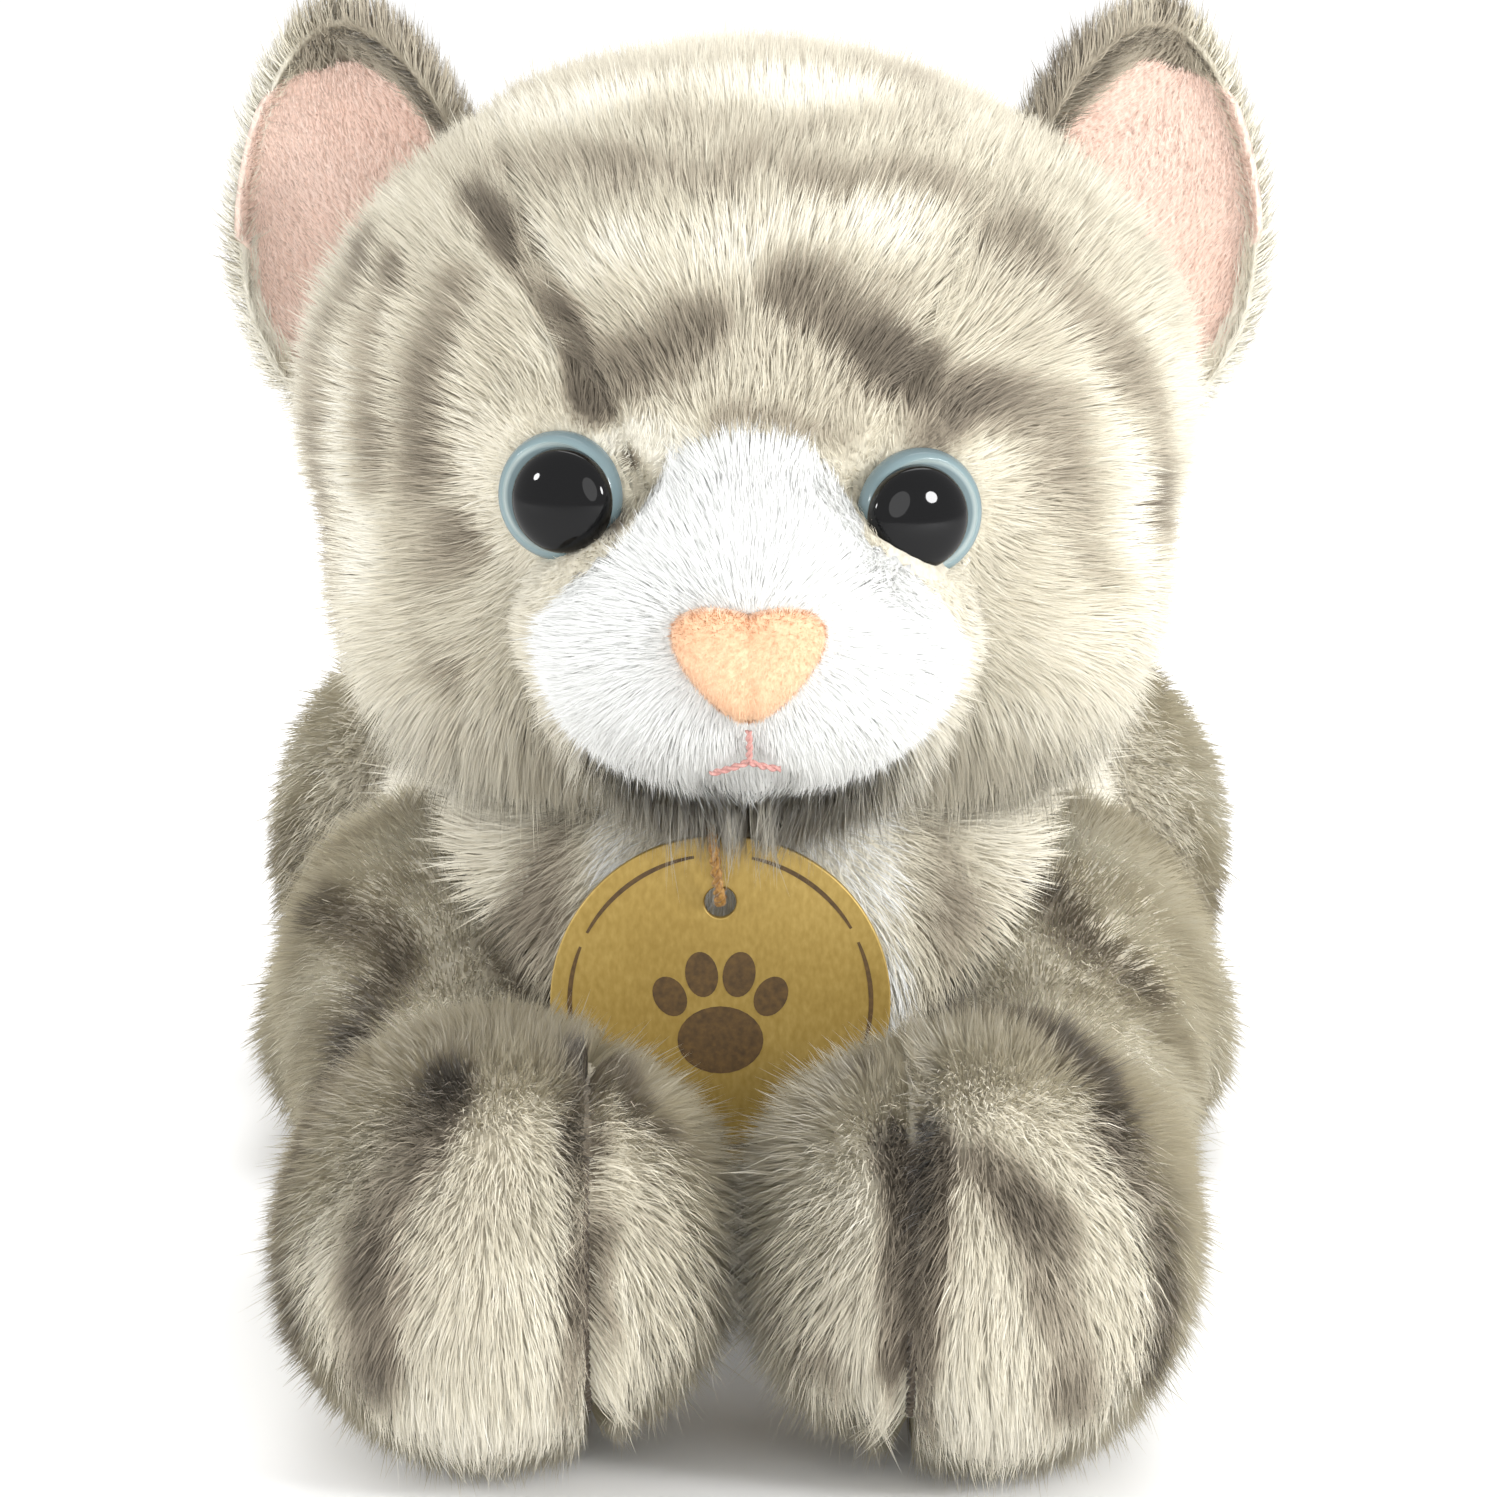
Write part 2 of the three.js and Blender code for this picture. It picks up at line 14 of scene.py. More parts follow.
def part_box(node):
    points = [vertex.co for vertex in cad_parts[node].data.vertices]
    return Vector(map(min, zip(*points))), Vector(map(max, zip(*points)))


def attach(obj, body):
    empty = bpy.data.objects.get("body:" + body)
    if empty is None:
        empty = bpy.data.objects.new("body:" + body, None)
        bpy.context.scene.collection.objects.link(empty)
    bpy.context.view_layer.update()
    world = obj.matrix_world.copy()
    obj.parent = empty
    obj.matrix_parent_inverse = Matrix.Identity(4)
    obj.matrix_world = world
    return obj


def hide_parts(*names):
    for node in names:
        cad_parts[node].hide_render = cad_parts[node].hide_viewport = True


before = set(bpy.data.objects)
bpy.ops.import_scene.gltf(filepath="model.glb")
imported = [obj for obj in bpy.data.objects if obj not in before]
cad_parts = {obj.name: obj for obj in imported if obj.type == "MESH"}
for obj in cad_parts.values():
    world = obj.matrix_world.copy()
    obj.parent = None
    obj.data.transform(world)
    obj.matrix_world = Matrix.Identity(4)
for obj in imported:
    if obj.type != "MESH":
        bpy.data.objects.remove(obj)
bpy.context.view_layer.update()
MM = 0.001
SIDES = (("left", -1), ("right", 1))

# ---- the toy's forms, the same driving dimensions as its frame ----
HEAD_CENTRE = np.array([0.0, -38, 98])
SKULL = {"side": 51, "front": 47, "back": 43, "top": 42, "bottom": 38}
MUZZLE = ((0, -80, 79), (25, 21, 17.5))
BROW = ((0, -70, 92), (15, 18, 18))
JOWLS = tuple(((x, -50, 80), (27, 23, 22.5)) for x in (-20, 20))  # the stuffed cheeks sag this low
FORM_BLEND = 6
GUSSET_HALF, GUSSET_HEIGHT, GUSSET_SPREAD = 16, 103, 0.5
HEAD_BACK_SEAM = -12
EYE_SEATS = {"left": (-21.4, -84, 94.7), "right": (19.3, -84, 92.9)}
EYE_TURN, EYE_LIFT, EYE_SUNK = 0.36, 0.06, 1  # two angles in radians and a depth
NOSE_Z = 80
TOE_SEAM, HIND_TOE_SEAM = 16.3, 46.5  # how far to the side each foot's seam lies
TORSO = [(0, -76.5, 43, 28, 27), (0, -52, 41, 37, 34), (0, -22, 38, 42, 38.5), (0, 12, 37, 44, 39),
         (0, 46, 37, 44, 39), (0, 74, 36, 37, 35), (0, 98, 34, 29, 29)]
FORELEG = {
    "left": [(-30.5, -10, 30, 24, 24), (-30.5, -36, 30, 24, 24), (-32, -62, 23, 18.5, 20),
             (-33, -83, 19.5, 15, 17), (-27.3, -108, 23.6, 23, 24.2), (-25.2, -142, 23.6, 23.3, 24.2)],
    "right": [(30.5, -10, 30, 24, 24), (30.5, -36, 30, 24, 24), (32, -62, 23, 18.5, 20),
              (32.4, -83, 19.5, 15, 17), (25.2, -108, 23.6, 22.8, 24.2), (22.7, -142, 23.6, 22.8, 24.2)],
}
THIGH = ((35, 54, 27.5), (27, 27, 29.5))
HIND_FOOT = [(41, 44, 15, 15, 15.5), (45.5, 16, 14.5, 14, 15), (46.5, -7, 14.5, 15, 15.5)]
TAIL = [(0, 83, 35, 12, 12), (2, 99, 26, 12, 12), (12, 119, 13.5, 11.5, 12),
        (33, 130.5, 12, 11, 12.2), (52, 128, 11.5, 10, 11.7)]
EAR = {"centre": (43, -31, 116.8), "half": (17, 9, 25), "taper": 0.2, "lean": 0.12, "toe": 0.3}
CORD = [(-4.8, -73.2, 58.4), (-4.7, -75.6, 59.8), (-4.4, -78.4, 60.5), (-4, -81.2, 60),
        (-3.7, -82.8, 57.8), (-3.4, -82.9, 54.7), (-3.1, -81.6, 51.9), (-3, -79.6, 50.9),
        (-2.8, -77.7, 51.9), (-2.4, -76.9, 54.4), (-1.9, -76.1, 57.0), (-1.5, -74.4, 58.6),
        (-1.3, -72.6, 58.9)]
TAG_CENTRE, TAG_RADIUS, TAG_HOLE, TAG_DROP = (-3, -79.6, 40), 18.2, 1.7, 7.3

BACKING = 4.0  # how far the woven backing lies under the pile's outer surface
MUZZLE_BACKING = 3.2  # the same under the short white muzzle pile
MUZZLE_PADS = (((0, -97, 77.5), (24, 30, 16.2)), ((0, -92, 89.5), (13.5, 22, 12)))  # the white panel
CLOTH = 0.8  # thickness of the backing

# ---- small vector helpers on rows of points ----
def dot(a, b):
    return np.sum(a * b, axis=-1, keepdims=True)


def unit(rows):
    return rows / np.maximum(np.linalg.norm(rows, axis=-1, keepdims=True), 1e-9)


def ramp(value, low, high):
    """0 below low, 1 above high, smooth between."""
    t = np.clip((value - low) / (high - low), 0, 1)
    return t * t * (3 - 2 * t)


LATTICE_SIZE = 32
LATTICE = np.random.default_rng(7).random((LATTICE_SIZE,) * 3)


def noise(points, size, seed=0):
    """Smooth noise from -1 to 1 with features about size wide."""
    q = np.asarray(points, float) / size + seed * 7.31
    cell = np.floor(q).astype(int)
    t = q - cell
    t = t * t * (3 - 2 * t)
    total = np.zeros(len(q))
    for corner in range(8):
        offset = np.array([(corner >> k) & 1 for k in range(3)])
        share = np.prod(np.where(offset, t, 1 - t), axis=1)
        at = (cell + offset) % LATTICE_SIZE
        total += share * LATTICE[at[:, 0], at[:, 1], at[:, 2]]
    return 2 * total - 1


def mirrored(stations, sign):
    return [(x * sign, *rest) for x, *rest in stations]


# ---- forms ----
def spline(points, per_span=24):
    """A centripetal Catmull-Rom line through rows whose first three columns are a place."""
    p = np.asarray(points, float)
    p = np.vstack([2 * p[0] - p[1], p, 2 * p[-1] - p[-2]])
    gaps = np.sqrt(np.linalg.norm(np.diff(p[:, :3], axis=0), axis=1))
    rows = []
    for i in range(1, len(p) - 2):
        a, b, c = gaps[i - 1:i + 2]
        start = ((p[i] - p[i - 1]) / a - (p[i + 1] - p[i - 1]) / (a + b) + (p[i + 1] - p[i]) / b) * b
        end = ((p[i + 1] - p[i]) / b - (p[i + 2] - p[i]) / (b + c) + (p[i + 2] - p[i + 1]) / c) * b
        for t in np.linspace(0, 1, per_span, endpoint=False):
            rows.append(p[i] * (2 * t**3 - 3 * t**2 + 1) + start * (t**3 - 2 * t**2 + t)
                        + p[i + 1] * (3 * t**2 - 2 * t**3) + end * (t**3 - t**2))
    rows.append(p[-2])
    return np.array(rows)


def line_through(places, per_span):
    return spline([(*place, 0, 0) for place in places], per_span)[:, :3]


def arc_length(line):
    """The run of each row of a line from its start."""
    return np.concatenate([[0], np.cumsum(np.linalg.norm(np.diff(line[:, :3], axis=0), axis=1))])


def tube(stations, grow, rings, sides):
    """Vertices and faces of a sewn tube through its stations, with round ends."""
    track = spline(stations)
    run = arc_length(track)
    length = run[-1]
    s = -grow + (length + 2 * grow) * (1 - np.cos(np.pi * np.arange(rings + 1) / rings)) / 2
    inside = np.clip(s, 0, length)
    rows = np.stack([np.interp(inside, run, track[:, k]) for k in range(5)], axis=1)
    slope = unit(np.gradient(track[:, :3], axis=0))
    tangent = unit(np.stack([np.interp(inside, run, slope[:, k]) for k in range(3)], axis=1))
    middle = rows[:, :3] + tangent * (s - inside)[:, None]
    ends = [(stations[k][3] + stations[k][4]) / 2 + grow for k in (0, -1)]
    near = np.clip((s + grow) / ends[0], 0, 1)
    far = np.clip((length + grow - s) / ends[1], 0, 1)
    taper = np.sqrt(near * (2 - near)) * np.sqrt(far * (2 - far))
    side = unit(np.cross(tangent, [0, 0, 1]))
    over = np.cross(side, tangent)
    angle = 2 * np.pi * np.arange(sides) / sides
    wide = ((rows[:, 3] + grow) * taper)[1:-1, None, None]
    high = ((rows[:, 4] + grow) * taper)[1:-1, None, None]
    round_rows = (middle[1:-1, None] + side[1:-1, None] * np.cos(angle)[:, None] * wide
                  + over[1:-1, None] * np.sin(angle)[:, None] * high)
    points = np.vstack([middle[:1], round_rows.reshape(-1, 3), middle[-1:]])
    last = len(points) - 1
    faces = []
    for ring in range(rings - 2):
        for k in range(sides):
            a, b = 1 + ring * sides + k, 1 + ring * sides + (k + 1) % sides
            faces.append((a, a + sides, b + sides, b))
    for k in range(sides):
        faces.append((0, 1 + k, 1 + (k + 1) % sides))
        faces.append((last, last - sides + (k + 1) % sides, last - sides + k))
    return points, faces


def tube_depth(points, stations, grow=0):
    """Roughly how far points lie outside a tube; below zero is inside it."""
    track = spline(stations, 10)
    slope = unit(np.gradient(track[:, :3], axis=0))
    run = arc_length(track)
    first, last = ((stations[k][3] + stations[k][4]) / 2 for k in (0, -1))
    core = (run >= first) & (run <= run[-1] - last)
    best = np.full(len(points), 1e9)
    for row, along in zip(track[core], slope[core]):
        across = unit(np.cross(along, [0, 0, 1]))
        offset = points - row[:3]
        wide, high = row[3] + grow, row[4] + grow
        u = offset @ across / wide
        v = offset @ np.cross(across, along) / high
        w = offset @ along / ((wide + high) / 2)
        capped = np.sqrt(u * u + v * v + w * w)
        best = np.minimum(best, (capped - 1) * (wide + high) / 2)
    return best


def reach(direction, centre, half):
    """How far along each direction from the head's centre an ellipsoid's surface lies, or 0."""
    start = (HEAD_CENTRE - centre) / half
    step = direction / half
    a, b = dot(step, step)[:, 0], step @ start
    under = b * b - a * (start @ start - 1)
    return np.where(under > 0, (-b + np.sqrt(np.maximum(under, 0))) / a, 0)


def head_radius(direction):
    """The head's surface about its centre: a skull blended softly with brow, jowls and muzzle."""
    x, y, z = direction.T
    depth = np.where(y < 0, SKULL["front"], SKULL["back"])
    height = np.where(z > 0, SKULL["top"], SKULL["bottom"])
    radius = 1 / np.sqrt((x / SKULL["side"]) ** 2 + (y / depth) ** 2 + (z / height) ** 2)
    for centre, half in (BROW, *JOWLS, MUZZLE):
        other = reach(direction, np.array(centre, float), np.array(half, float))
        soft = np.maximum(FORM_BLEND - np.abs(radius - other), 0) / FORM_BLEND
        radius = np.maximum(radius, other) + soft * soft * FORM_BLEND / 4
    return radius


def head_depth(points, grow=0):
    """Distance outside the head's surface along the line from its centre."""
    offset = points - HEAD_CENTRE
    return np.linalg.norm(offset, axis=1) - head_radius(unit(offset)) - grow


def muzzle_edge(points):
    """Below zero inside the white muzzle and bridge, about millimetres from their seam."""
    each = [(np.linalg.norm((points - centre) / np.array(half), axis=1) - 1) * min(half[0], half[2])
            for centre, half in MUZZLE_PADS]
    return np.minimum(*each)


def gusset_edge(points):
    """Below zero between the two forehead seams."""
    return np.abs(points[:, 0]) - GUSSET_HALF - GUSSET_SPREAD * (points[:, 2] - GUSSET_HEIGHT)


# ---- meshes ----
@contextmanager
def editing(mesh):
    edit = bmesh.new()
    edit.from_mesh(mesh)
    yield edit
    edit.to_mesh(mesh)
    edit.free()


def face_centres(edit):
    return np.array([face.calc_center_median() for face in edit.faces]) / MM


def new_object(name, mesh):
    thing = bpy.data.objects.new(name, mesh)
    bpy.context.scene.collection.objects.link(thing)
    return thing


def new_piece(name, points, faces, smooth=True):
    """A mesh from points in millimetres."""
    mesh = bpy.data.meshes.new(name)
    mesh.from_pydata((np.asarray(points) * MM).tolist(), [], faces)
    mesh.validate()
    if smooth:
        mesh.shade_smooth()
    return new_object(name, mesh)


def points_of(thing):
    flat = np.empty(len(thing.data.vertices) * 3)
    thing.data.vertices.foreach_get("co", flat)
    return flat.reshape(-1, 3) / MM


def set_points(thing, points):
    thing.data.vertices.foreach_set("co", (points * MM).ravel())
    thing.data.update()


def normals_of(thing):
    flat = np.empty(len(thing.data.vertices) * 3)
    thing.data.vertices.foreach_get("normal", flat)
    return flat.reshape(-1, 3)


def remesh(thing, voxel, smoothing):
    """Turns everything in the mesh into one closed even skin."""
    step = thing.modifiers.new("remesh", "REMESH")
    step.mode, step.voxel_size = "VOXEL", voxel * MM
    soften = thing.modifiers.new("soften", "SMOOTH")
    soften.factor, soften.iterations = 0.5, smoothing
    shape = thing.evaluated_get(bpy.context.evaluated_depsgraph_get())
    mesh = bpy.data.meshes.new_from_object(shape)
    thing.modifiers.clear()
    old, thing.data = thing.data, mesh
    bpy.data.meshes.remove(old)
    thing.data.shade_smooth()


def split_off(thing, name, chosen):
    """A new piece of the faces whose centres are chosen; the rest stay behind."""
    copy = new_object(name, thing.data.copy())
    for target, keep in ((copy, True), (thing, False)):
        with editing(target.data) as edit:
            pick = chosen(face_centres(edit))
            doomed = [face for face, inside in zip(edit.faces, pick) if inside != keep]
            bmesh.ops.delete(edit, geom=doomed, context="FACES")
    return copy


def cut_along(thing, point, normal):
    """A clean edge loop along a seam's plane."""
    with editing(thing.data) as edit:
        bmesh.ops.bisect_plane(edit, geom=edit.verts[:] + edit.edges[:] + edit.faces[:],
                               plane_co=Vector(point) * MM, plane_no=Vector(normal))


def thicken(thing, thickness=CLOTH):
    wall = thing.modifiers.new("cloth", "SOLIDIFY")
    wall.thickness, wall.offset = thickness * MM, -1


def placed(thing, node, body):
    """The piece stands for a node of the frame and rides on a body."""
    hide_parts(node)
    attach(thing, body)


# ---- colours ----
def linear(colour):
    """Scene-linear values of a 0-255 display colour."""
    share = np.asarray(colour, float) / 255
    return np.where(share <= 0.04045, share / 12.92, ((share + 0.055) / 1.055) ** 2.4)


TABBY = [(241, 237, 223), (232, 226, 208), (218, 211, 191), (200, 192, 172), (180, 170, 151),
         (157, 147, 129), (134, 124, 108), (110, 101, 87)]
WHITE = [(244, 245, 243), (240, 241, 239), (234, 235, 232)]
PINK = [(254, 231, 218), (250, 223, 208), (245, 214, 199)]
PEACH = [(242, 203, 168), (238, 195, 158), (231, 186, 149)]


class Nodes:
    """Builds a procedural material: each call adds a node and links what it is given."""

    def __init__(self, name):
        self.material = bpy.data.materials.new(name)
        self.material.use_nodes = True
        self.tree = self.material.node_tree
        self.shader = self.tree.nodes["Principled BSDF"]

    def add(self, kind, links=(), **settings):
        node = self.tree.nodes.new(kind)
        for key, value in settings.items():
            if hasattr(node, key):
                setattr(node, key, value)
            else:
                node.inputs[key.replace("_", " ")].default_value = value
        for socket, source in dict(links).items():
            self.tree.links.new(source, node.inputs[socket])
        return node

    def place(self):
        return self.add("ShaderNodeTexCoord").outputs["Object"]

    def noise(self, scale, detail=3.0, roughness=0.55):
        return self.add("ShaderNodeTexNoise", {"Vector": self.place()}, Scale=scale, Detail=detail,
                        Roughness=roughness).outputs["Fac"]

    def ramp(self, source, stops):
        node = self.add("ShaderNodeValToRGB", {"Fac": source})
        while len(node.color_ramp.elements) < len(stops):
            node.color_ramp.elements.new(0.5)
        for element, (at, colour) in zip(node.color_ramp.elements, stops):
            element.position = at
            element.color = (*linear(colour), 1)
        return node.outputs["Color"]

    def colour(self, source):
        self.tree.links.new(source, self.shader.inputs["Base Color"])
        return self

    def bump(self, source, strength, distance_mm):
        node = self.add("ShaderNodeBump", {"Height": source}, Strength=strength, Distance=distance_mm * MM)
        self.tree.links.new(node.outputs["Normal"], self.shader.inputs["Normal"])
        return self

    def set(self, **sockets):
        for name, value in sockets.items():
            self.shader.inputs[name.replace("_", " ")].default_value = value
        return self


Plush = namedtuple("Plush", "slot colours shades")


def plush(slot, name, colours):
    """A pile fabric: its slot, its backing's colours, and a soft material for each shade of its pile."""
    feel = {"Roughness": 0.62, "Specular_IOR_Level": 0.25, "Sheen_Weight": 0.25, "Sheen_Roughness": 0.5}
    shades = [Nodes(f"{name}_{k}").set(Base_Color=(*linear(colour), 1), **feel).material
              for k, colour in enumerate(colours)]
    return Plush(slot, colours, shades)


TABBY_PLUSH = plush("tabby_plush", "tabby_pile", TABBY)
CHEST_PLUSH = plush("white_plush", "chest_pile", [WHITE[0], *TABBY[1:]])
WHITE_PLUSH = plush("white_plush", "white_pile", WHITE)
PINK_VELOUR = plush("pink_velour", "pink_velour", PINK)
PEACH_VELOUR = plush("peach_velour", "peach_velour", PEACH)


def tint(thing, colours):
    """Stores a colour for each vertex."""
    layer = thing.data.color_attributes.new("tint", "FLOAT_COLOR", "POINT")
    rows = np.ones((len(thing.data.vertices), 4), np.float32)
    rows[:, :3] = colours
    layer.data.foreach_set("color", rows.ravel())


def backing_material(name, grain):
    """Knitted backing: the colour painted on it, broken up by noise, over a fine ribbed knit."""
    n = Nodes(name)
    painted = n.add("ShaderNodeVertexColor", layer_name="tint").outputs["Color"]
    fleck = n.ramp(n.noise(grain), [(0.3, (205, 203, 199)), (0.7, (255, 255, 255))])
    mix = n.add("ShaderNodeMix", data_type="RGBA", blend_type="MULTIPLY", Factor=0.7)
    n.tree.links.new(painted, mix.inputs["A"])
    n.tree.links.new(fleck, mix.inputs["B"])
    rib = n.add("ShaderNodeTexWave", {"Vector": n.place()}, Scale=400, Distortion=3)
    n.colour(mix.outputs["Result"]).bump(rib.outputs["Fac"], 0.4, 0.3)
    return n.set(Roughness=0.95, Sheen_Weight=0.2).material


BACKING_TONE = 0.93  # how much darker the backing is than its pile
BACKING_LOOK = backing_material("plush_backing", 900)
VELOUR_LOOK = backing_material("velour_backing", 1600)


# ---- the tabby markings, and two strokes of painted shade: strokes through points on the pile, with a half width and a strength ----
HEAD_STROKES = [
    ([(-27, -56, 129), (-14, -66, 129), (-5, -69, 129), (4, -65, 132), (12, -59, 134)], 2.6, 0.6),
    ([(7, -68, 130), (19, -65, 128), (27, -64, 125)], 2.6, 0.6),
    ([(-17, -45, 137), (-4, -48, 139), (9, -46, 139), (20, -42, 136)], 2.6, 0.5),
    ([(5, -78, 118), (11, -79, 115), (18, -80, 108)], 2.6, 0.95),
    ([(-14, -81, 109), (-10, -82, 111), (-6, -81, 114)], 2.6, 0.85),
    ([(19, -81, 102), (24, -78, 106), (32, -73, 103), (35, -72, 97)], 2.6, 0.85),
    ([(-3, -85, 104), (4, -85, 104), (11, -84, 102)], 2, 0.6),
    ([(28, -66, 123), (39, -64, 111), (46, -57, 94), (45, -51, 85), (42, -48, 76)], 2.8, 0.75),
    ([(35, -72, 97), (37, -68, 90), (38, -60, 81), (34, -56, 72)], 2.6, 0.65),
    # painted shade: dark pile along the left forehead seam, where shade falls in the seam's valley
    ([(-30, -60, 127), (-25, -71, 120), (-20, -77, 114), (-16, -82, 105)], 1.5, 1.1),
    ([(-44, -49, 117), (-48, -50, 100), (-46, -50, 86), (-40, -50, 74)], 2.8, 0.75),
    ([(-32, -68, 116), (-36, -70, 103), (-37, -68, 90), (-34, -58, 75)], 2.6, 0.65),
    ([(-33, -70, 88), (-34, -66, 80), (-32, -64, 72)], 2.6, 0.9),
    ([(-40, -58, 116), (-43, -62, 104), (-42, -63, 94)], 2, 0.85),
    ([(-30, -64, 62), (-12, -78, 59), (0, -82, 58), (12, -78, 59), (30, -64, 62)], 4, 0.4),
    # painted shadow: dark pile at the left eye's inner corner, where shade falls in the sewn gap
    ([(-14.5, -84, 97.5), (-14, -85, 95), (-14.5, -85, 92)], 0.8, 1.3),
]
HEAD_LIGHTS = [
    ([(-22, -72, 119), (-11, -76, 121), (4, -75, 123), (17, -71, 124)], 2.2, 0.9),
    ([(-24, -50, 134), (-6, -54, 137), (10, -52, 138)], 3, 0.9),
    ([(-41, -60, 112), (-43, -60, 98), (-42, -60, 84)], 2.2, 0.9),
    ([(42, -62, 98), (41, -60, 88), (37, -56, 76)], 2.2, 0.8),
    ([(-12, -84, 103), (-5, -87, 100), (6, -87, 100)], 2.4, 0.8),
]
LEG_STROKES = {
    "left": [
        ([(-31, -127, 45), (-35, -135, 38), (-38, -137, 26), (-39, -135, 12)], 2.4, 0.85),
        ([(-40, -65, 41), (-44, -69, 35), (-47, -72, 26)], 2.4, 0.75),
        ([(-42, -106, 42), (-45, -116, 36), (-47, -122, 24), (-46, -124, 10)], 2.4, 0.7),
        ([(-50, -45, 42), (-46, -51, 42), (-39, -63, 42)], 2.2, 0.7),
        ([(-30, -60, 43), (-22, -68, 41)], 1.8, 0.6),
        ([(-14, -116, 44), (-10, -125, 40), (-6, -122, 33), (-3, -120, 22)], 1.8, 0.7),
        ([(-17, -118, 46), (-16, -134, 38), (-15, -139, 27), (-16, -137, 9)], 1.5, 0.95),
    ],
    "right": [
        ([(12, -116, 44), (8, -122, 39), (4, -122, 32), (2, -122, 22)], 1.8, 0.7),
        ([(20, -104, 47), (28, -108, 47), (35, -119, 45), (39, -127, 40), (43, -130, 30), (44, -128, 14)],
         2.2, 0.8),
        ([(22, -137, 38), (28, -139, 34), (32, -141, 24), (34, -137, 11)], 2.2, 0.8),
        ([(33, -54, 46), (40, -60, 44), (46, -61, 36)], 2.2, 0.75),
        ([(38, -84, 36), (46, -88, 28), (48, -92, 16)], 2.2, 0.65),
        ([(3, -128, 20), (6, -135, 14), (9, -136, 8)], 2.2, 0.75),
        ([(16, -133, 39), (16, -139, 32), (16, -140, 24), (16.5, -139, 18)], 2.2, 1.15),
        ([(16.5, -139, 18), (16.5, -136, 8)], 1.2, 0.8),
    ],
}


def brushed(points, strokes):
    """The darkest stroke at each point, with wavering edges."""
    warp = np.stack([noise(points, 7, seed) for seed in (11, 12, 13)], axis=1)
    wavy = points + 1.6 * warp
    dark = np.zeros(len(points))
    for stations, half, strength in strokes:
        line = line_through(stations, 6)
        gap = np.full(len(points), 1e9)
        for a, b in zip(line[:-1], line[1:]):
            along = b - a
            t = np.clip((wavy - a) @ along / (along @ along), 0, 1)
            gap = np.minimum(gap, np.linalg.norm(wavy - a - t[:, None] * along, axis=1))
        dark = np.maximum(dark, strength * (1 - ramp(gap, 0.4 * half, 3.1 * half)))
    return dark * (0.98 + 0.35 * noise(points, 7, 33))


def bands(points, position, spacing, strength):
    """Procedural stripes where position rises by spacing from one to the next."""
    wander = 0.3 * noise(points, 26, 21) + 0.12 * noise(points, 9, 22)
    wave = np.sin(2 * np.pi * (position / spacing + wander))
    return strength * ramp(wave, 0.1, 0.85) * (0.75 + 0.25 * noise(points, 15, 23))


def ground(points):
    """The pale ground colour's own unevenness."""
    return 0.17 + 0.11 * noise(points, 14, 24) + 0.07 * noise(points, 5, 25)


def head_tone(points):
    back = ramp(points[:, 1], -44, -26)
    rings = bands(points, np.abs(points[:, 0]) * 0.5 - points[:, 1], 17, 0.6)
    front = bands(points, points[:, 2] + 0.35 * np.abs(points[:, 0]) + 3 * noise(points, 20, 27), 9.5, 0.42)
    brow = ramp(points[:, 2], 100, 110)
    dark = np.maximum(brushed(points, HEAD_STROKES), np.maximum(back * rings, (1 - back) * brow * front))
    shaded = 0.05 + (0.1 + 0.16 * noise(points, 6, 34)) * brow * (1 - back)
    return np.maximum(ground(points) + shaded, dark) - 0.35 * brushed(points, HEAD_LIGHTS)


def body_tone(points):
    lift = np.abs(points[:, 0]) * 0.35
    return np.maximum(ground(points), bands(points, points[:, 1] - lift, 21, 0.5))


def chest_tone(points):
    """White down the middle of the chest and under the belly, tabby towards the shoulders."""
    aside = ramp(np.abs(points[:, 0]), 17, 24) * ramp(points[:, 2], 16, 24)
    yoke = np.maximum(body_tone(points), 0.6 + 0.35 * noise(points, 9, 35))
    return aside * yoke + (1 - aside) * 0.25 * white_tone(points)


def leg_tone(side):
    def tone(points):
        away = ramp(points[:, 1], -100, -72)
        rings = bands(points, points[:, 1] + 0.4 * points[:, 2], 17, 0.45)
        # painted light: towards the shoulders, away from the paws, the ground is made paler, lifting the
        # shade that falls on them under the head
        ground_with_painted_light = ground(points) + 0.06 - 0.14 * away
        return np.maximum(ground_with_painted_light, np.maximum(brushed(points, LEG_STROKES[side]), away * rings))
    return tone


def hind_tone(points):
    from_hip = np.linalg.norm(points - [0, 60, 20], axis=1)
    return np.maximum(ground(points), bands(points, from_hip, 18, 0.5))


def tail_tone(points):
    return np.maximum(ground(points), bands(points, points[:, 0] + 0.7 * points[:, 1], 15, 0.65))


def white_tone(points):
    return 0.25 + 0.25 * noise(points, 6, 31)


def ear_tone(points):
    # painted light: the hair at the ear's outer edge is made cream-white, lifting the shade in the gap
    # between lining and rim
    painted_light_edge = ramp(np.abs(points[:, 0]), 48, 54) * ramp(points[:, 1], -18, -24)
    return 0.52 + 0.15 * noise(points, 8, 32) - 0.5 * painted_light_edge


# ---- which way the pile is combed ----
def head_comb(points):
    outward = unit(points - np.array([0, -104, 84.0]))
    back = ramp(points[:, 1], -30, -5)[:, None]
    way = outward * (1 - back) + back * np.array([0, 0.5, -0.9])
    under = fringe(points)[:, None]
    way = way * (1 - under) + under * np.array([0, -0.35, -1])
    for name, sign in SIDES:
        seat, facing = eye_pose(name, sign)
        offset = points - seat
        offset = offset - dot(offset, facing) * facing
        near = ramp(np.linalg.norm(offset, axis=1), 14, 8)[:, None]
        way = way + 2.5 * near * unit(offset)
    return way


def fringe(points):
    """1 under the jaw, where the pile hangs long and straight."""
    return ramp(points[:, 2], 76, 66) * ramp(points[:, 1], -30, -44)


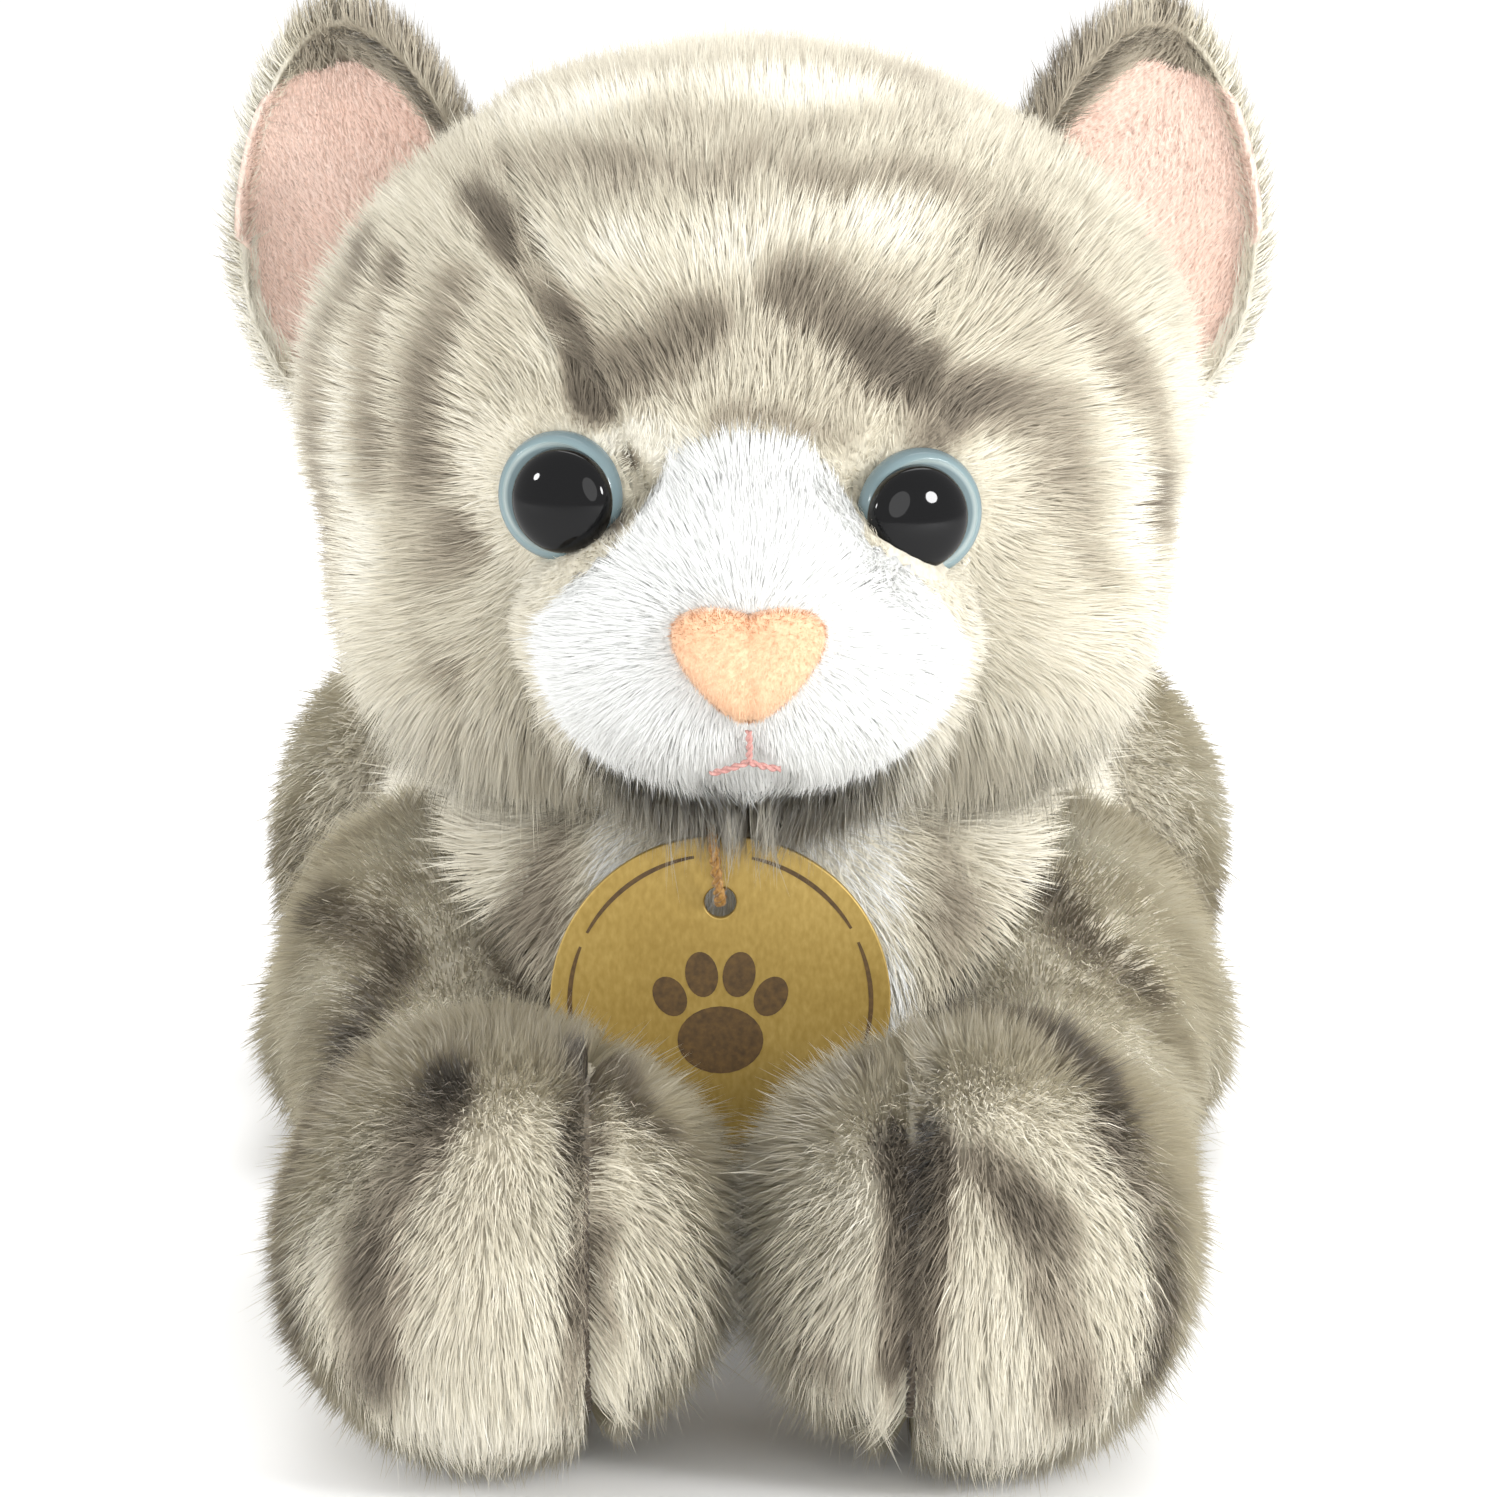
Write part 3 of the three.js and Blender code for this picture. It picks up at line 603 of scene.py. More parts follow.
def leg_comb(points):
    front = ramp(points[:, 1], -118, -136)[:, None]
    way = np.array([0, -0.9, -0.35]) * (1 - front) + np.array([0, -0.2, -1]) * front
    apart = np.sign(np.abs(points[:, :1]) - TOE_SEAM) * np.sign(points[:, :1])
    seam = ramp(np.abs(np.abs(points[:, :1]) - TOE_SEAM), 4, 0) * ramp(points[:, 1:2], -100, -112)
    return way + 0.9 * seam * apart * np.array([1, 0, 0])


def body_comb(points):
    chest = ramp(points[:, 1], -52, -66)[:, None]
    return np.array([0, 1, -0.45]) * (1 - chest) + np.array([0, -0.25, -1]) * chest


def hind_comb(points):
    return np.stack([0.15 * np.sign(points[:, 0]), np.full(len(points), -0.6), np.full(len(points), -0.5)], 1)


def tail_comb(points):
    track = spline(TAIL, 6)[:, :3]
    slope = unit(np.gradient(track, axis=0))
    nearest = np.argmin(((points[:, None] - track[None]) ** 2).sum(2), axis=1)
    return slope[nearest]


# ---- the pile: every hair is a tapering ribbon rooted in its backing ----
def scatter(skin, density, rng):
    """Random places on a skin with their smooth normals, so many to the square millimetre."""
    mesh = skin.data
    mesh.calc_loop_triangles()
    corners = np.empty(len(mesh.loop_triangles) * 3, np.int32)
    mesh.loop_triangles.foreach_get("vertices", corners)
    corners = corners.reshape(-1, 3)
    place, facing = points_of(skin), normals_of(skin)
    a, b, c = (place[corners[:, k]] for k in range(3))
    area = np.linalg.norm(np.cross(b - a, c - a), axis=1) / 2
    pick = rng.choice(len(corners), int(area.sum() * density), p=area / area.sum())
    u, v = rng.random((2, len(pick)))
    u, v = np.where(u + v > 1, 1 - u, u)[:, None], np.where(u + v > 1, 1 - v, v)[:, None]
    share = (1 - u - v, u, v)
    root = sum(place[corners[pick, k]] * share[k] for k in range(3))
    normal = unit(sum(facing[corners[pick, k]] * share[k] for k in range(3)))
    return root, normal


HAIR_FACES = np.array([0, 2, 3, 1, 2, 4, 3])
HAIR_STARTS = np.array([0, 4])
FLOOR_CLEARANCE = 0.25
GUARD_SHARE, GUARD_LENGTH = 0.06, 1.35  # hairs that stand longer than the rest
SHADE_JITTER = 0.35  # in steps of shade
MOST_HAIRS = 65000  # in one pile


def pile(name, skin, body, fabric, tone, comb, seed, density=7.0, length=4.9, lean=0.66,
         width=0.125, lock=2.0, clump=0.35, ruffle=0.09, keep=None, shorten=None):
    """Grows a fabric's pile on a skin.

    tone, comb, keep, shorten and a callable lean say how dark, which way, whether, how long and how
    far over it grows at each point. Hairs in a cell lock wide gather by the share clump."""
    rng = np.random.default_rng(seed)
    root, normal = scatter(skin, density, rng)
    if keep is not None:
        held = keep(root)
        root, normal = root[held], normal[held]
    if len(root) > MOST_HAIRS:
        held = np.sort(rng.permutation(len(root))[:MOST_HAIRS])
        root, normal = root[held], normal[held]
    count = len(root)
    along = comb(root)
    along = unit(along - dot(along, normal) * normal + 1e-6)
    side = np.cross(normal, along)
    swirl = (0.35 * noise(root, 9, 1) + 0.22 * noise(root, 3.4, 4) + rng.normal(0, 0.13, count))[:, None]
    along, side = (along * np.cos(swirl) + side * np.sin(swirl), side * np.cos(swirl) - along * np.sin(swirl))
    tilt = (lean(root) if callable(lean) else lean) + 0.18 * noise(root, 9, 2) + rng.normal(0, 0.12, count)
    span = length * (1 + 0.14 * rng.standard_normal(count) + 0.1 * noise(root, 11, 3))
    span = span * np.where(rng.random(count) < GUARD_SHARE, GUARD_LENGTH, 1.0)
    if shorten is not None:
        span = span * shorten(root)
    line = [root - 0.4 * normal]
    for part, bend in ((0.55, 0.8), (0.45, 1.2)):
        angle = (tilt * bend)[:, None]
        heading = np.cos(angle) * normal + np.sin(angle) * along
        line.append(line[-1] + heading * (part * span)[:, None])
    drift = np.stack([noise(root, 5, axis) for axis in (5, 6, 7)], axis=1)
    middle = (np.floor((root + drift) / lock) + 0.5) * lock - drift
    pull = middle - root
    pull = pull - dot(pull, normal) * normal
    for k, share in ((1, 0.3), (2, 1.0)):
        line[k] = line[k] + pull * clump * share
    twist = rng.uniform(-0.7, 0.7, count)[:, None]
    across = side * np.cos(twist) + np.cross(heading, side) * np.sin(twist)
    thick = width * rng.uniform(0.75, 1.25, count)[:, None] / 2
    rows = np.empty((count, 5, 3))
    for k, share in enumerate((1, 0.8)):
        rows[:, 2 * k] = line[k] - across * thick * share
        rows[:, 2 * k + 1] = line[k] + across * thick * share
    rows[:, 4] = line[2]
    rows[:, :, 2] = np.maximum(rows[:, :, 2], FLOOR_CLEARANCE)
    facing = unit(normal + ruffle * rng.standard_normal((count, 3)) - 0.15 * along)
    seen_at = (line[1] + line[2]) / 2 + normal
    darkest = len(fabric.shades) - 1
    level = np.clip(tone(seen_at) * darkest + rng.normal(0, SHADE_JITTER, count), 0, darkest)
    thing = hair_mesh(name, rows, facing, np.rint(level).astype(np.int32), fabric.shades)
    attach(thing, body)


def hair_mesh(name, rows, facing, level, shades):
    """Two faces for each hair's five corners, with the skin's own normal so that the pile looks soft."""
    count = len(rows)
    mesh = bpy.data.meshes.new(name)
    mesh.vertices.add(count * 5)
    mesh.vertices.foreach_set("co", (rows * MM).astype(np.float32).ravel())
    mesh.loops.add(count * 7)
    corners = HAIR_FACES[None] + 5 * np.arange(count)[:, None]
    mesh.loops.foreach_set("vertex_index", corners.astype(np.int32).ravel())
    mesh.polygons.add(count * 2)
    starts = HAIR_STARTS[None] + 7 * np.arange(count)[:, None]
    mesh.polygons.foreach_set("loop_start", starts.astype(np.int32).ravel())
    for material in shades:
        mesh.materials.append(material)
    mesh.polygons.foreach_set("material_index", np.repeat(level, 2).astype(np.int32))
    mesh.update(calc_edges=True)
    mesh.shade_smooth()
    mesh.normals_split_custom_set_from_vertices(np.repeat(facing, 5, axis=0).astype(np.float32))
    return new_object(name, mesh)


# ---- the head: a knitted skin sewn from panels, drawn in along each seam ----
def eye_nearness(points, start, end):
    """1 at an eye's seat, falling to 0 between the two distances."""
    found = np.zeros(len(points))
    for seat in EYE_SEATS.values():
        spot = on_head(seat)
        found = np.maximum(found, ramp(np.linalg.norm(points - spot, axis=1), end, start))
    return found


def on_head(place):
    """The head's surface point in the direction of a place."""
    way = unit(np.array(place, float) - HEAD_CENTRE)
    return HEAD_CENTRE + way * head_radius(way[None])[0]


def head_skin():
    skin = new_object("head_skin", bpy.data.meshes.new("head_skin"))
    with editing(skin.data) as edit:
        bmesh.ops.create_icosphere(edit, subdivisions=7, radius=1)
    way = unit(points_of(skin) * MM)
    place = HEAD_CENTRE + way * head_radius(way)[:, None]
    white = ramp(muzzle_edge(place), 1, -3)
    inset = BACKING + (MUZZLE_BACKING - BACKING) * white
    inset = inset - 1.5 * eye_nearness(place, 8, 15)
    top = place[:, 1] < HEAD_BACK_SEAM
    upper = place[:, 2] > GUSSET_HEIGHT - 10
    seams = [np.where(top & upper & (muzzle_edge(place) > 0), np.abs(gusset_edge(place)), 99),
             np.abs(place[:, 1] - HEAD_BACK_SEAM),
             np.abs(muzzle_edge(place)),
             np.where((place[:, 2] < 80) & (muzzle_edge(place) > 0), np.abs(place[:, 0]), 99)]
    valley = sum(depth * np.exp(-(gap / 1.6) ** 2) for gap, depth in zip(seams, (0.9, 0.7, 0.6, 0.7)))
    stuffed = 0.35 * noise(place, 17, 41) + 0.2 * noise(place, 8, 42)
    set_points(skin, HEAD_CENTRE + way * (head_radius(way) - inset - valley + stuffed)[:, None])
    cut_along(skin, (0, HEAD_BACK_SEAM, 0), (0, 1, 0))
    cut_along(skin, (0, 0, 0), (1, 0, 0))
    for sign in (-1, 1):
        cut_along(skin, (sign * GUSSET_HALF, 0, GUSSET_HEIGHT), (sign, 0, -GUSSET_SPREAD))
    skin.data.shade_smooth()
    return skin


def finish_skin(thing, body, node, fabric, tone, look=BACKING_LOOK):
    """Paints a panel's backing, thickens it and lets it stand for its node."""
    shades = np.array([linear(colour) for colour in fabric.colours])
    level = np.clip(tone(points_of(thing) + BACKING * normals_of(thing)), 0, 1) * (len(shades) - 1)
    low = np.floor(level).astype(int)
    high = np.minimum(low + 1, len(shades) - 1)
    blend = (level - low)[:, None]
    tint(thing, (shades[low] * (1 - blend) + shades[high] * blend) * BACKING_TONE)
    thing.data.materials.clear()
    thing.data.materials.append(look)
    thicken(thing)
    placed(thing, node, body)


def clear_of_eyes(points):
    """False where a hair would grow through an eye."""
    held = np.ones(len(points), bool)
    for name, sign in SIDES:
        seat, facing = eye_pose(name, sign)
        offset = points - seat
        beside = np.linalg.norm(offset - dot(offset, facing) * facing, axis=1)
        held &= (beside > 6.1) | (offset @ facing < -9)
    return held


def eye_pose(name, sign):
    facing = unit(np.array([sign * math.sin(EYE_TURN), -math.cos(EYE_TURN), math.sin(EYE_LIFT)]))
    return on_head(EYE_SEATS[name]) - EYE_SUNK * facing, facing


def head_length(points):
    """How long the pile is over the head, as a share of its common length."""
    near_eye = 1 - 0.55 * eye_nearness(points, 8, 17)
    bridge = 1 - 0.35 * ramp(muzzle_edge(points), 12, 0) * (1 - fringe(points))
    crown = 1 - 0.2 * ramp(points[:, 2], 118, 130)
    return near_eye * (1 + 0.65 * fringe(points)) * bridge * crown


def head_lean(points):
    return 0.66 - 0.36 * fringe(points)


MOUTH = [[(0, 73.6), (0.1, 71.6), (0, 69.9)], [(0, 69.9), (-1.8, 69.1), (-3.9, 68.3)],
         [(0, 69.9), (1.6, 69.3), (3.3, 68.9)]]


def near_mouth(points):
    gap = np.full(len(points), 99.0)
    for line in MOUTH:
        for x, z in line_through([(x, 0, z) for x, z in line], 6)[:, [0, 2]]:
            gap = np.minimum(gap, np.hypot(points[:, 0] - x, points[:, 2] - z))
    return gap


def nose_outline(count):
    """The nose patch's heart, as rows of x and z about its middle."""
    curves = [((0, 5.2), (2.2, 6.1), (8.3, 6.6), (8.2, 2.9)),
              ((8.2, 2.9), (8.1, 0.6), (3.2, -5.6), (0, -5.8))]
    curves += [tuple((-x, z) for x, z in reversed(curve)) for curve in reversed(curves)]
    rows = []
    for curve in curves:
        a, b, c, d = (np.array(point) for point in curve)
        for t in np.linspace(0, 1, count // 4, endpoint=False):
            rows.append(a * (1 - t)**3 + 3 * b * t * (1 - t)**2 + 3 * c * t**2 * (1 - t) + d * t**3)
    return np.array(rows)


def over_nose(points):
    """Below one under the nose patch."""
    x, z = points[:, 0], points[:, 2] - NOSE_Z
    outline = nose_outline(80)
    bearing = np.arctan2(outline[:, 1], outline[:, 0])
    order = np.argsort(bearing)
    edge = np.interp(np.arctan2(z, x), bearing[order], np.hypot(*outline[order].T), period=2 * np.pi)
    return np.where(points[:, 1] < -80, np.hypot(x, z) / edge, 99)


def muzzle_length(points):
    around = ramp(over_nose(points), 0.9, 1.3) * 0.45 + 0.55
    clear = 1 - 0.5 * eye_nearness(points, 8, 14)
    return clear * around * (0.45 + 0.55 * ramp(near_mouth(points), 0.5, 3))


def build_head():
    skin = head_skin()

    def on_muzzle(places):
        way = unit(places - HEAD_CENTRE)
        return muzzle_edge(HEAD_CENTRE + way * head_radius(way)[:, None]) < 0

    muzzle = split_off(skin, "muzzle_skin", on_muzzle)
    back = split_off(skin, "head_back_skin", lambda c: c[:, 1] > HEAD_BACK_SEAM)
    gusset = split_off(skin, "forehead_skin",
                       lambda c: (gusset_edge(c) < 0) & (c[:, 2] > GUSSET_HEIGHT - 12))
    left = split_off(skin, "left_cheek_skin", lambda c: c[:, 0] < 0)
    skin.name = "right_cheek_skin"
    tabby = (("head_back", back, "head_back_panel"), ("forehead", gusset, "forehead_gusset"),
             ("left_cheek", left, "left_cheek_panel"), ("right_cheek", skin, "right_cheek_panel"))
    for seed, (name, panel, node) in enumerate(tabby):
        pile(f"{name}_pile", panel, "head", TABBY_PLUSH, head_tone, head_comb, 100 + seed,
             keep=lambda p: clear_of_eyes(p) & (ear_gap(p) > -1), shorten=head_length, lean=head_lean,
             density=11 if name != "head_back" else 6)
        if node.endswith("cheek_panel"):
            pile(f"{name}_fringe", panel, "head", TABBY_PLUSH, head_tone, head_comb, 105 + seed,
                 keep=lambda p: (fringe(p) > 0.6) & (p[:, 1] < -55), shorten=head_length,
                 lean=head_lean, density=14, clump=0.5)
        finish_skin(panel, "head", node, TABBY_PLUSH, head_tone)
    pile("muzzle_pile", muzzle, "head", WHITE_PLUSH, white_tone, head_comb, 110, density=22,
         length=3.0, lean=0.75, width=0.11, lock=1.5, clump=0.15, ruffle=0.05,
         keep=lambda p: clear_of_eyes(p) & (over_nose(p) > 0.92), shorten=muzzle_length)
    finish_skin(muzzle, "head", "muzzle_panel", WHITE_PLUSH, white_tone)


# ---- ears ----
def ear_shape(sign, local):
    """Ear points from its own frame, x outward, y behind and z up, to their place."""
    lean = Matrix.Rotation(EAR["lean"] * sign, 3, "Y")
    toe = Matrix.Rotation(EAR["toe"] * sign, 3, "Z")
    turned = local * np.array([sign, 1, 1]) @ np.array(toe @ lean).T
    return turned + np.array([EAR["centre"][0] * sign, *EAR["centre"][1:]])


def ear_gap(points):
    """How far points on the head lie outside the ears' bases."""
    best = np.full(len(points), 99.0)
    for sign in (-1, 1):
        offset = points - np.array([EAR["centre"][0] * sign, *EAR["centre"][1:]])
        size = np.array(EAR["half"], float) + np.array([-1, 1, -1])
        best = np.minimum(best, (np.linalg.norm(offset / size, axis=1) - 1) * size[1])
    return best


EAR_SIDES = 84  # points round an ear


def ear_grid(profile):
    """Rows of an ear cup: each profile station is a share of the outline, a depth and a trim."""
    half = EAR["half"]
    angle = 2 * np.pi * np.arange(EAR_SIDES) / EAR_SIDES
    rows = []
    for share, depth, trim in profile:
        out = share(angle) if callable(share) else share
        wide = (half[0] - trim) * out * np.cos(angle) * (1 - EAR["taper"] * np.sin(angle))
        deep = depth(out) if callable(depth) else depth
        rows.append(np.column_stack([wide, deep + 0 * angle, (half[2] - trim) * out * np.sin(angle)]))
    return np.vstack(rows)


def ring_faces(rings, around):
    """Faces between rings of points, with a lid on the first."""
    faces = [(r * around + k, r * around + (k + 1) % around, (r + 1) * around + (k + 1) % around,
              (r + 1) * around + k) for r in range(rings - 1) for k in range(around)]
    return faces + [tuple(reversed(range(around)))]


def lining_share(angle):
    """How far the pink lining reaches: to the edge on the outer side, short of it above and inside."""
    bearing = np.degrees(np.mod(angle, 2 * np.pi))
    top, inner, foot = ramp(bearing, 40, 78), ramp(bearing, 110, 160), ramp(bearing, 220, 270)
    return 1.0 - 0.185 * top + 0.07 * inner + 0.06 * foot


def ear_cup(name, sign, stations, inside_out):
    faces = ring_faces(len(stations), EAR_SIDES)
    if inside_out:
        faces = [tuple(reversed(face)) for face in faces]
    cup = new_piece(name, ear_shape(sign, ear_grid(stations)), faces)
    trim_to_head(cup)
    return cup


def build_ear(name, sign):
    depth = EAR["half"][1]
    angles = np.linspace(0.04, 0.5, 22) * np.pi
    back = [(math.sin(a), (depth - 1.8) * math.cos(a) + 0.6, 1.8) for a in angles]
    rim = [(1.0, 0.6 - 1.2 * math.sin(t), 1.8 + 0.9 * (1 - math.cos(t))) for t in np.linspace(0.3, 1.57, 5)]
    bowl = lambda out: (depth - 4.4) * np.sqrt(np.clip(1 - out * out, 0, 1)) - 1.0
    inner = [(lambda a, t=t: 1 - (1.02 - lining_share(a)) * t, bowl, 2.7) for t in np.linspace(0.1, 1, 7)]
    stations = back + rim + inner
    skin = ear_cup(f"{name}_ear_skin", sign, stations, sign < 0)
    pink = [(lambda a, t=t: lining_share(a) * t, lambda out: bowl(out) - 0.5, 2.6)
            for t in np.linspace(0.03, 1, 26)]
    lining = ear_cup(f"{name}_ear_velour", sign, pink, sign > 0)
    centre = ear_shape(sign, np.array([[0, 0, -22.0]]))[0]
    up = ear_shape(sign, np.array([[0, 0, 25.0]]))[0] - centre

    def ear_comb(points):
        return unit(points - centre) + 0.6 * unit(up)

    def rim_length(points):
        outer = ramp(np.abs(points[:, 0]) - EAR["centre"][0], 4, 13) * ramp(points[:, 1], -24, -31)
        return 1 - 0.5 * outer

    ear = f"{name}_ear"
    pile(f"{ear}_pile", skin, ear, TABBY_PLUSH, ear_tone, ear_comb, 130 + sign, density=13,
         length=4.4, lean=0.75, width=0.12, shorten=rim_length, keep=lambda p: head_depth(p) > -4.5)
    pile(f"{ear}_lining_pile", lining, ear, PINK_VELOUR, white_tone, ear_comb, 140 + sign, density=20,
         length=1.6, lean=0.7, width=0.12, lock=1.2, clump=0.15, ruffle=0.1)
    finish_skin(skin, ear, f"{ear}_back", TABBY_PLUSH, ear_tone)
    finish_skin(lining, ear, f"{ear}_lining", PINK_VELOUR, white_tone, VELOUR_LOOK)


def trim_to_head(thing):
    """Takes off what is sewn in under the head's pile."""
    with editing(thing.data) as edit:
        hidden = head_depth(face_centres(edit)) < -BACKING - 1
        bmesh.ops.delete(edit, geom=[face for face, gone in zip(edit.faces, hidden) if gone], context="FACES")
    thing.data.shade_smooth()


# ---- legs, tail and body ----
REST = 1.4  # height of the backing over the ground where the pile is pressed flat
SLACK = 0.7  # how much smaller a skin is cut than it is when stuffed
CLOTH_MASS, STUFFING_PRESSURE, STUFFING_STEPS = 0.001, 300, 16


def rested(points):
    """Pressed flat where the toy lies, with a soft shoulder above the ground."""
    z = points[:, 2]
    soft = REST + 1.5 * np.log1p(np.exp((z - REST) / 1.5))
    return np.column_stack([points[:, :2], np.where(z > REST + 12, z, np.minimum(soft, z + 12))])


def nowhere(points):
    return np.zeros(len(points), bool)


def stuffed(skin, sewn=nowhere, most=1.6):
    """Lets the stuffing press a skin out by a short cloth simulation, held along its sewn lines."""
    before = points_of(skin)
    held = skin.vertex_groups.new(name="sewn")
    held.add(np.flatnonzero(sewn(before)).tolist(), 1.0, "REPLACE")
    cloth = skin.modifiers.new("stuffing", "CLOTH").settings
    cloth.vertex_group_mass = "sewn"
    cloth.mass = CLOTH_MASS
    cloth.use_pressure = True
    cloth.uniform_pressure_force = STUFFING_PRESSURE
    cloth.effector_weights.gravity = 0
    scene = bpy.context.scene
    for step in range(1, STUFFING_STEPS + 1):
        scene.frame_set(step)
    shape = skin.evaluated_get(bpy.context.evaluated_depsgraph_get())
    after = np.empty(len(before) * 3)
    shape.data.vertices.foreach_get("co", after)
    skin.modifiers.clear()
    skin.vertex_groups.clear()
    scene.frame_set(1)
    move = after.reshape(-1, 3) / MM - before
    far = np.linalg.norm(move, axis=1, keepdims=True)
    set_points(skin, before + move * np.minimum(1, most / np.maximum(far, 1e-6)))


def soft_tube(name, stations, rings, sides, sewn=nowhere):
    """A skin cut a little small and then filled out by its stuffing."""
    points, faces = tube(stations, -BACKING - SLACK, rings, sides)
    skin = new_piece(name, points, faces)
    stuffed(skin, sewn)
    place, facing = points_of(skin), normals_of(skin)
    bulge = 0.5 * noise(place, 19, 43) + 0.25 * noise(place, 9, 44)
    set_points(skin, place + facing * bulge[:, None])
    return skin


def in_torso(points, grow):
    return tube_depth(points, TORSO) < grow


def on_toe_seam(points):
    return (np.abs(np.abs(points[:, 0]) - TOE_SEAM) < 0.9) & (points[:, 1] < -112) & (points[:, 2] < 42)


def build_foreleg(name, sign):
    skin = soft_tube(f"{name}_foreleg_fabric", FORELEG[name], 100, 76, on_toe_seam)
    place, facing = points_of(skin), normals_of(skin)
    seam = np.exp(-((np.abs(place[:, 0]) - TOE_SEAM) / 1.7) ** 2) * ramp(place[:, 1], -104, -118)
    crease = 1.2 + 1.2 * (sign > 0) * ramp(place[:, 2], 20, 28)
    fuller = 2.2 * ramp(-facing[:, 0] * sign, 0.3, 0.9) * ramp(place[:, 1], -100, -110)
    place = rested(place + facing * (fuller - seam * crease)[:, None])
    set_points(skin, place)
    tone = leg_tone(name)
    body = f"{name}_foreleg"
    lay_toe_seam(name, "toe", skin, body, sign * TOE_SEAM, 36, 9)
    paw = split_off(skin, f"{name}_paw_fabric", lambda c: c[:, 1] < -96)
    pile(f"{name}_paw_pile", paw, body, TABBY_PLUSH, tone, leg_comb, 150 + sign, density=11,
         shorten=lambda p: 1 + 0.35 * ramp(np.abs(p[:, 0]), 12, 6))
    pile(f"{name}_foreleg_pile", skin, body, TABBY_PLUSH, tone, leg_comb, 160 + sign, density=6,
         keep=lambda p: ~in_torso(p, -7))
    finish_skin(skin, body, f"{name}_foreleg_skin", TABBY_PLUSH, tone)
    finish_skin(paw, body, f"{name}_foreleg_skin", TABBY_PLUSH, tone)


def thigh_points(sign, grow):
    centre, half = THIGH
    around, down = 48, 30
    rows = []
    for ring in range(1, down):
        for k in range(around):
            polar, turn = np.pi * ring / down, 2 * np.pi * k / around
            way = (math.sin(polar) * math.cos(turn), math.sin(polar) * math.sin(turn), math.cos(polar))
            rows.append([sign * (centre[0] + way[0] * (half[0] + grow))]
                        + [centre[axis] + way[axis] * (half[axis] + grow) for axis in (1, 2)])
    faces = ring_faces(down - 1, around) + [tuple(range((down - 2) * around, (down - 1) * around))]
    return np.array(rows), faces


def build_hind_leg(name, sign):
    thigh, thigh_faces = thigh_points(sign, -BACKING)
    foot, foot_faces = tube(mirrored(HIND_FOOT, sign), -BACKING, 50, 44)
    faces = thigh_faces + [tuple(corner + len(thigh) for corner in face) for face in foot_faces]
    skin = new_piece(f"{name}_hind_leg_fabric", np.vstack([thigh, foot]), faces)
    remesh(skin, 1.7, 8)
    stuffed(skin, most=1)
    set_points(skin, rested(points_of(skin)))
    body = f"{name}_hind_leg"
    lay_toe_seam(name, "hind_toe", skin, body, sign * HIND_TOE_SEAM, 21, 7)
    pile(f"{name}_hind_leg_pile", skin, body, TABBY_PLUSH, hind_tone, hind_comb, 170 + sign,
         density=6, width=0.17, keep=lambda p: ~in_torso(p, -7))
    finish_skin(skin, body, f"{name}_hind_leg_skin", TABBY_PLUSH, hind_tone)


def build_tail():
    skin = soft_tube("tail_fabric", TAIL, 70, 48)
    set_points(skin, rested(points_of(skin)))
    pile("tail_pile", skin, "tail", TABBY_PLUSH, tail_tone, tail_comb, 180, density=6, width=0.18,
         keep=lambda p: ~in_torso(p, -5))
    finish_skin(skin, "tail", "tail_skin", TABBY_PLUSH, tail_tone)


def pressed_clear(points, middles, depths, margin):
    """Moves points towards their middles until they clear every neighbour by a margin."""
    def blocked(rows):
        return np.min([depth(rows) for depth in depths], axis=0) < margin

    moved = points.copy()
    held = np.flatnonzero(blocked(points))
    share = np.full(len(held), 0.9)
    for step in np.linspace(0.9, 0, 24):
        trial = points[held] + (middles[held] - points[held]) * step
        share = np.where(blocked(trial), share, step)
    moved[held] += (middles[held] - points[held]) * share[:, None]
    return moved


NECK_PIVOT = np.array([0, -32, 80.0])
HEAD_TURN, HEAD_NOD = math.radians(15), math.radians(12)  # the joints' limits


def head_sweep(points, grow):
    """Depth outside the head wherever its joints take it: turned to each side, or nodded."""
    x, y, z = (points - NECK_PIVOT).T
    nodded = np.column_stack([x, y * math.cos(HEAD_NOD) - z * math.sin(HEAD_NOD),
                              y * math.sin(HEAD_NOD) + z * math.cos(HEAD_NOD)])
    poses = [points, nodded + NECK_PIVOT]
    for angle in (-HEAD_TURN, HEAD_TURN):
        turned = np.column_stack([x * math.cos(angle) - y * math.sin(angle),
                                  x * math.sin(angle) + y * math.cos(angle), z])
        poses.append(turned + NECK_PIVOT)
    return np.min([head_depth(pose, grow) for pose in poses], axis=0)


def thigh_depth(points, sign):
    """Roughly how far points lie outside a thigh's backing."""
    offset = (points * [sign, 1, 1] - THIGH[0]) / (np.array(THIGH[1]) - BACKING)
    return (np.linalg.norm(offset, axis=1) - 1) * 24


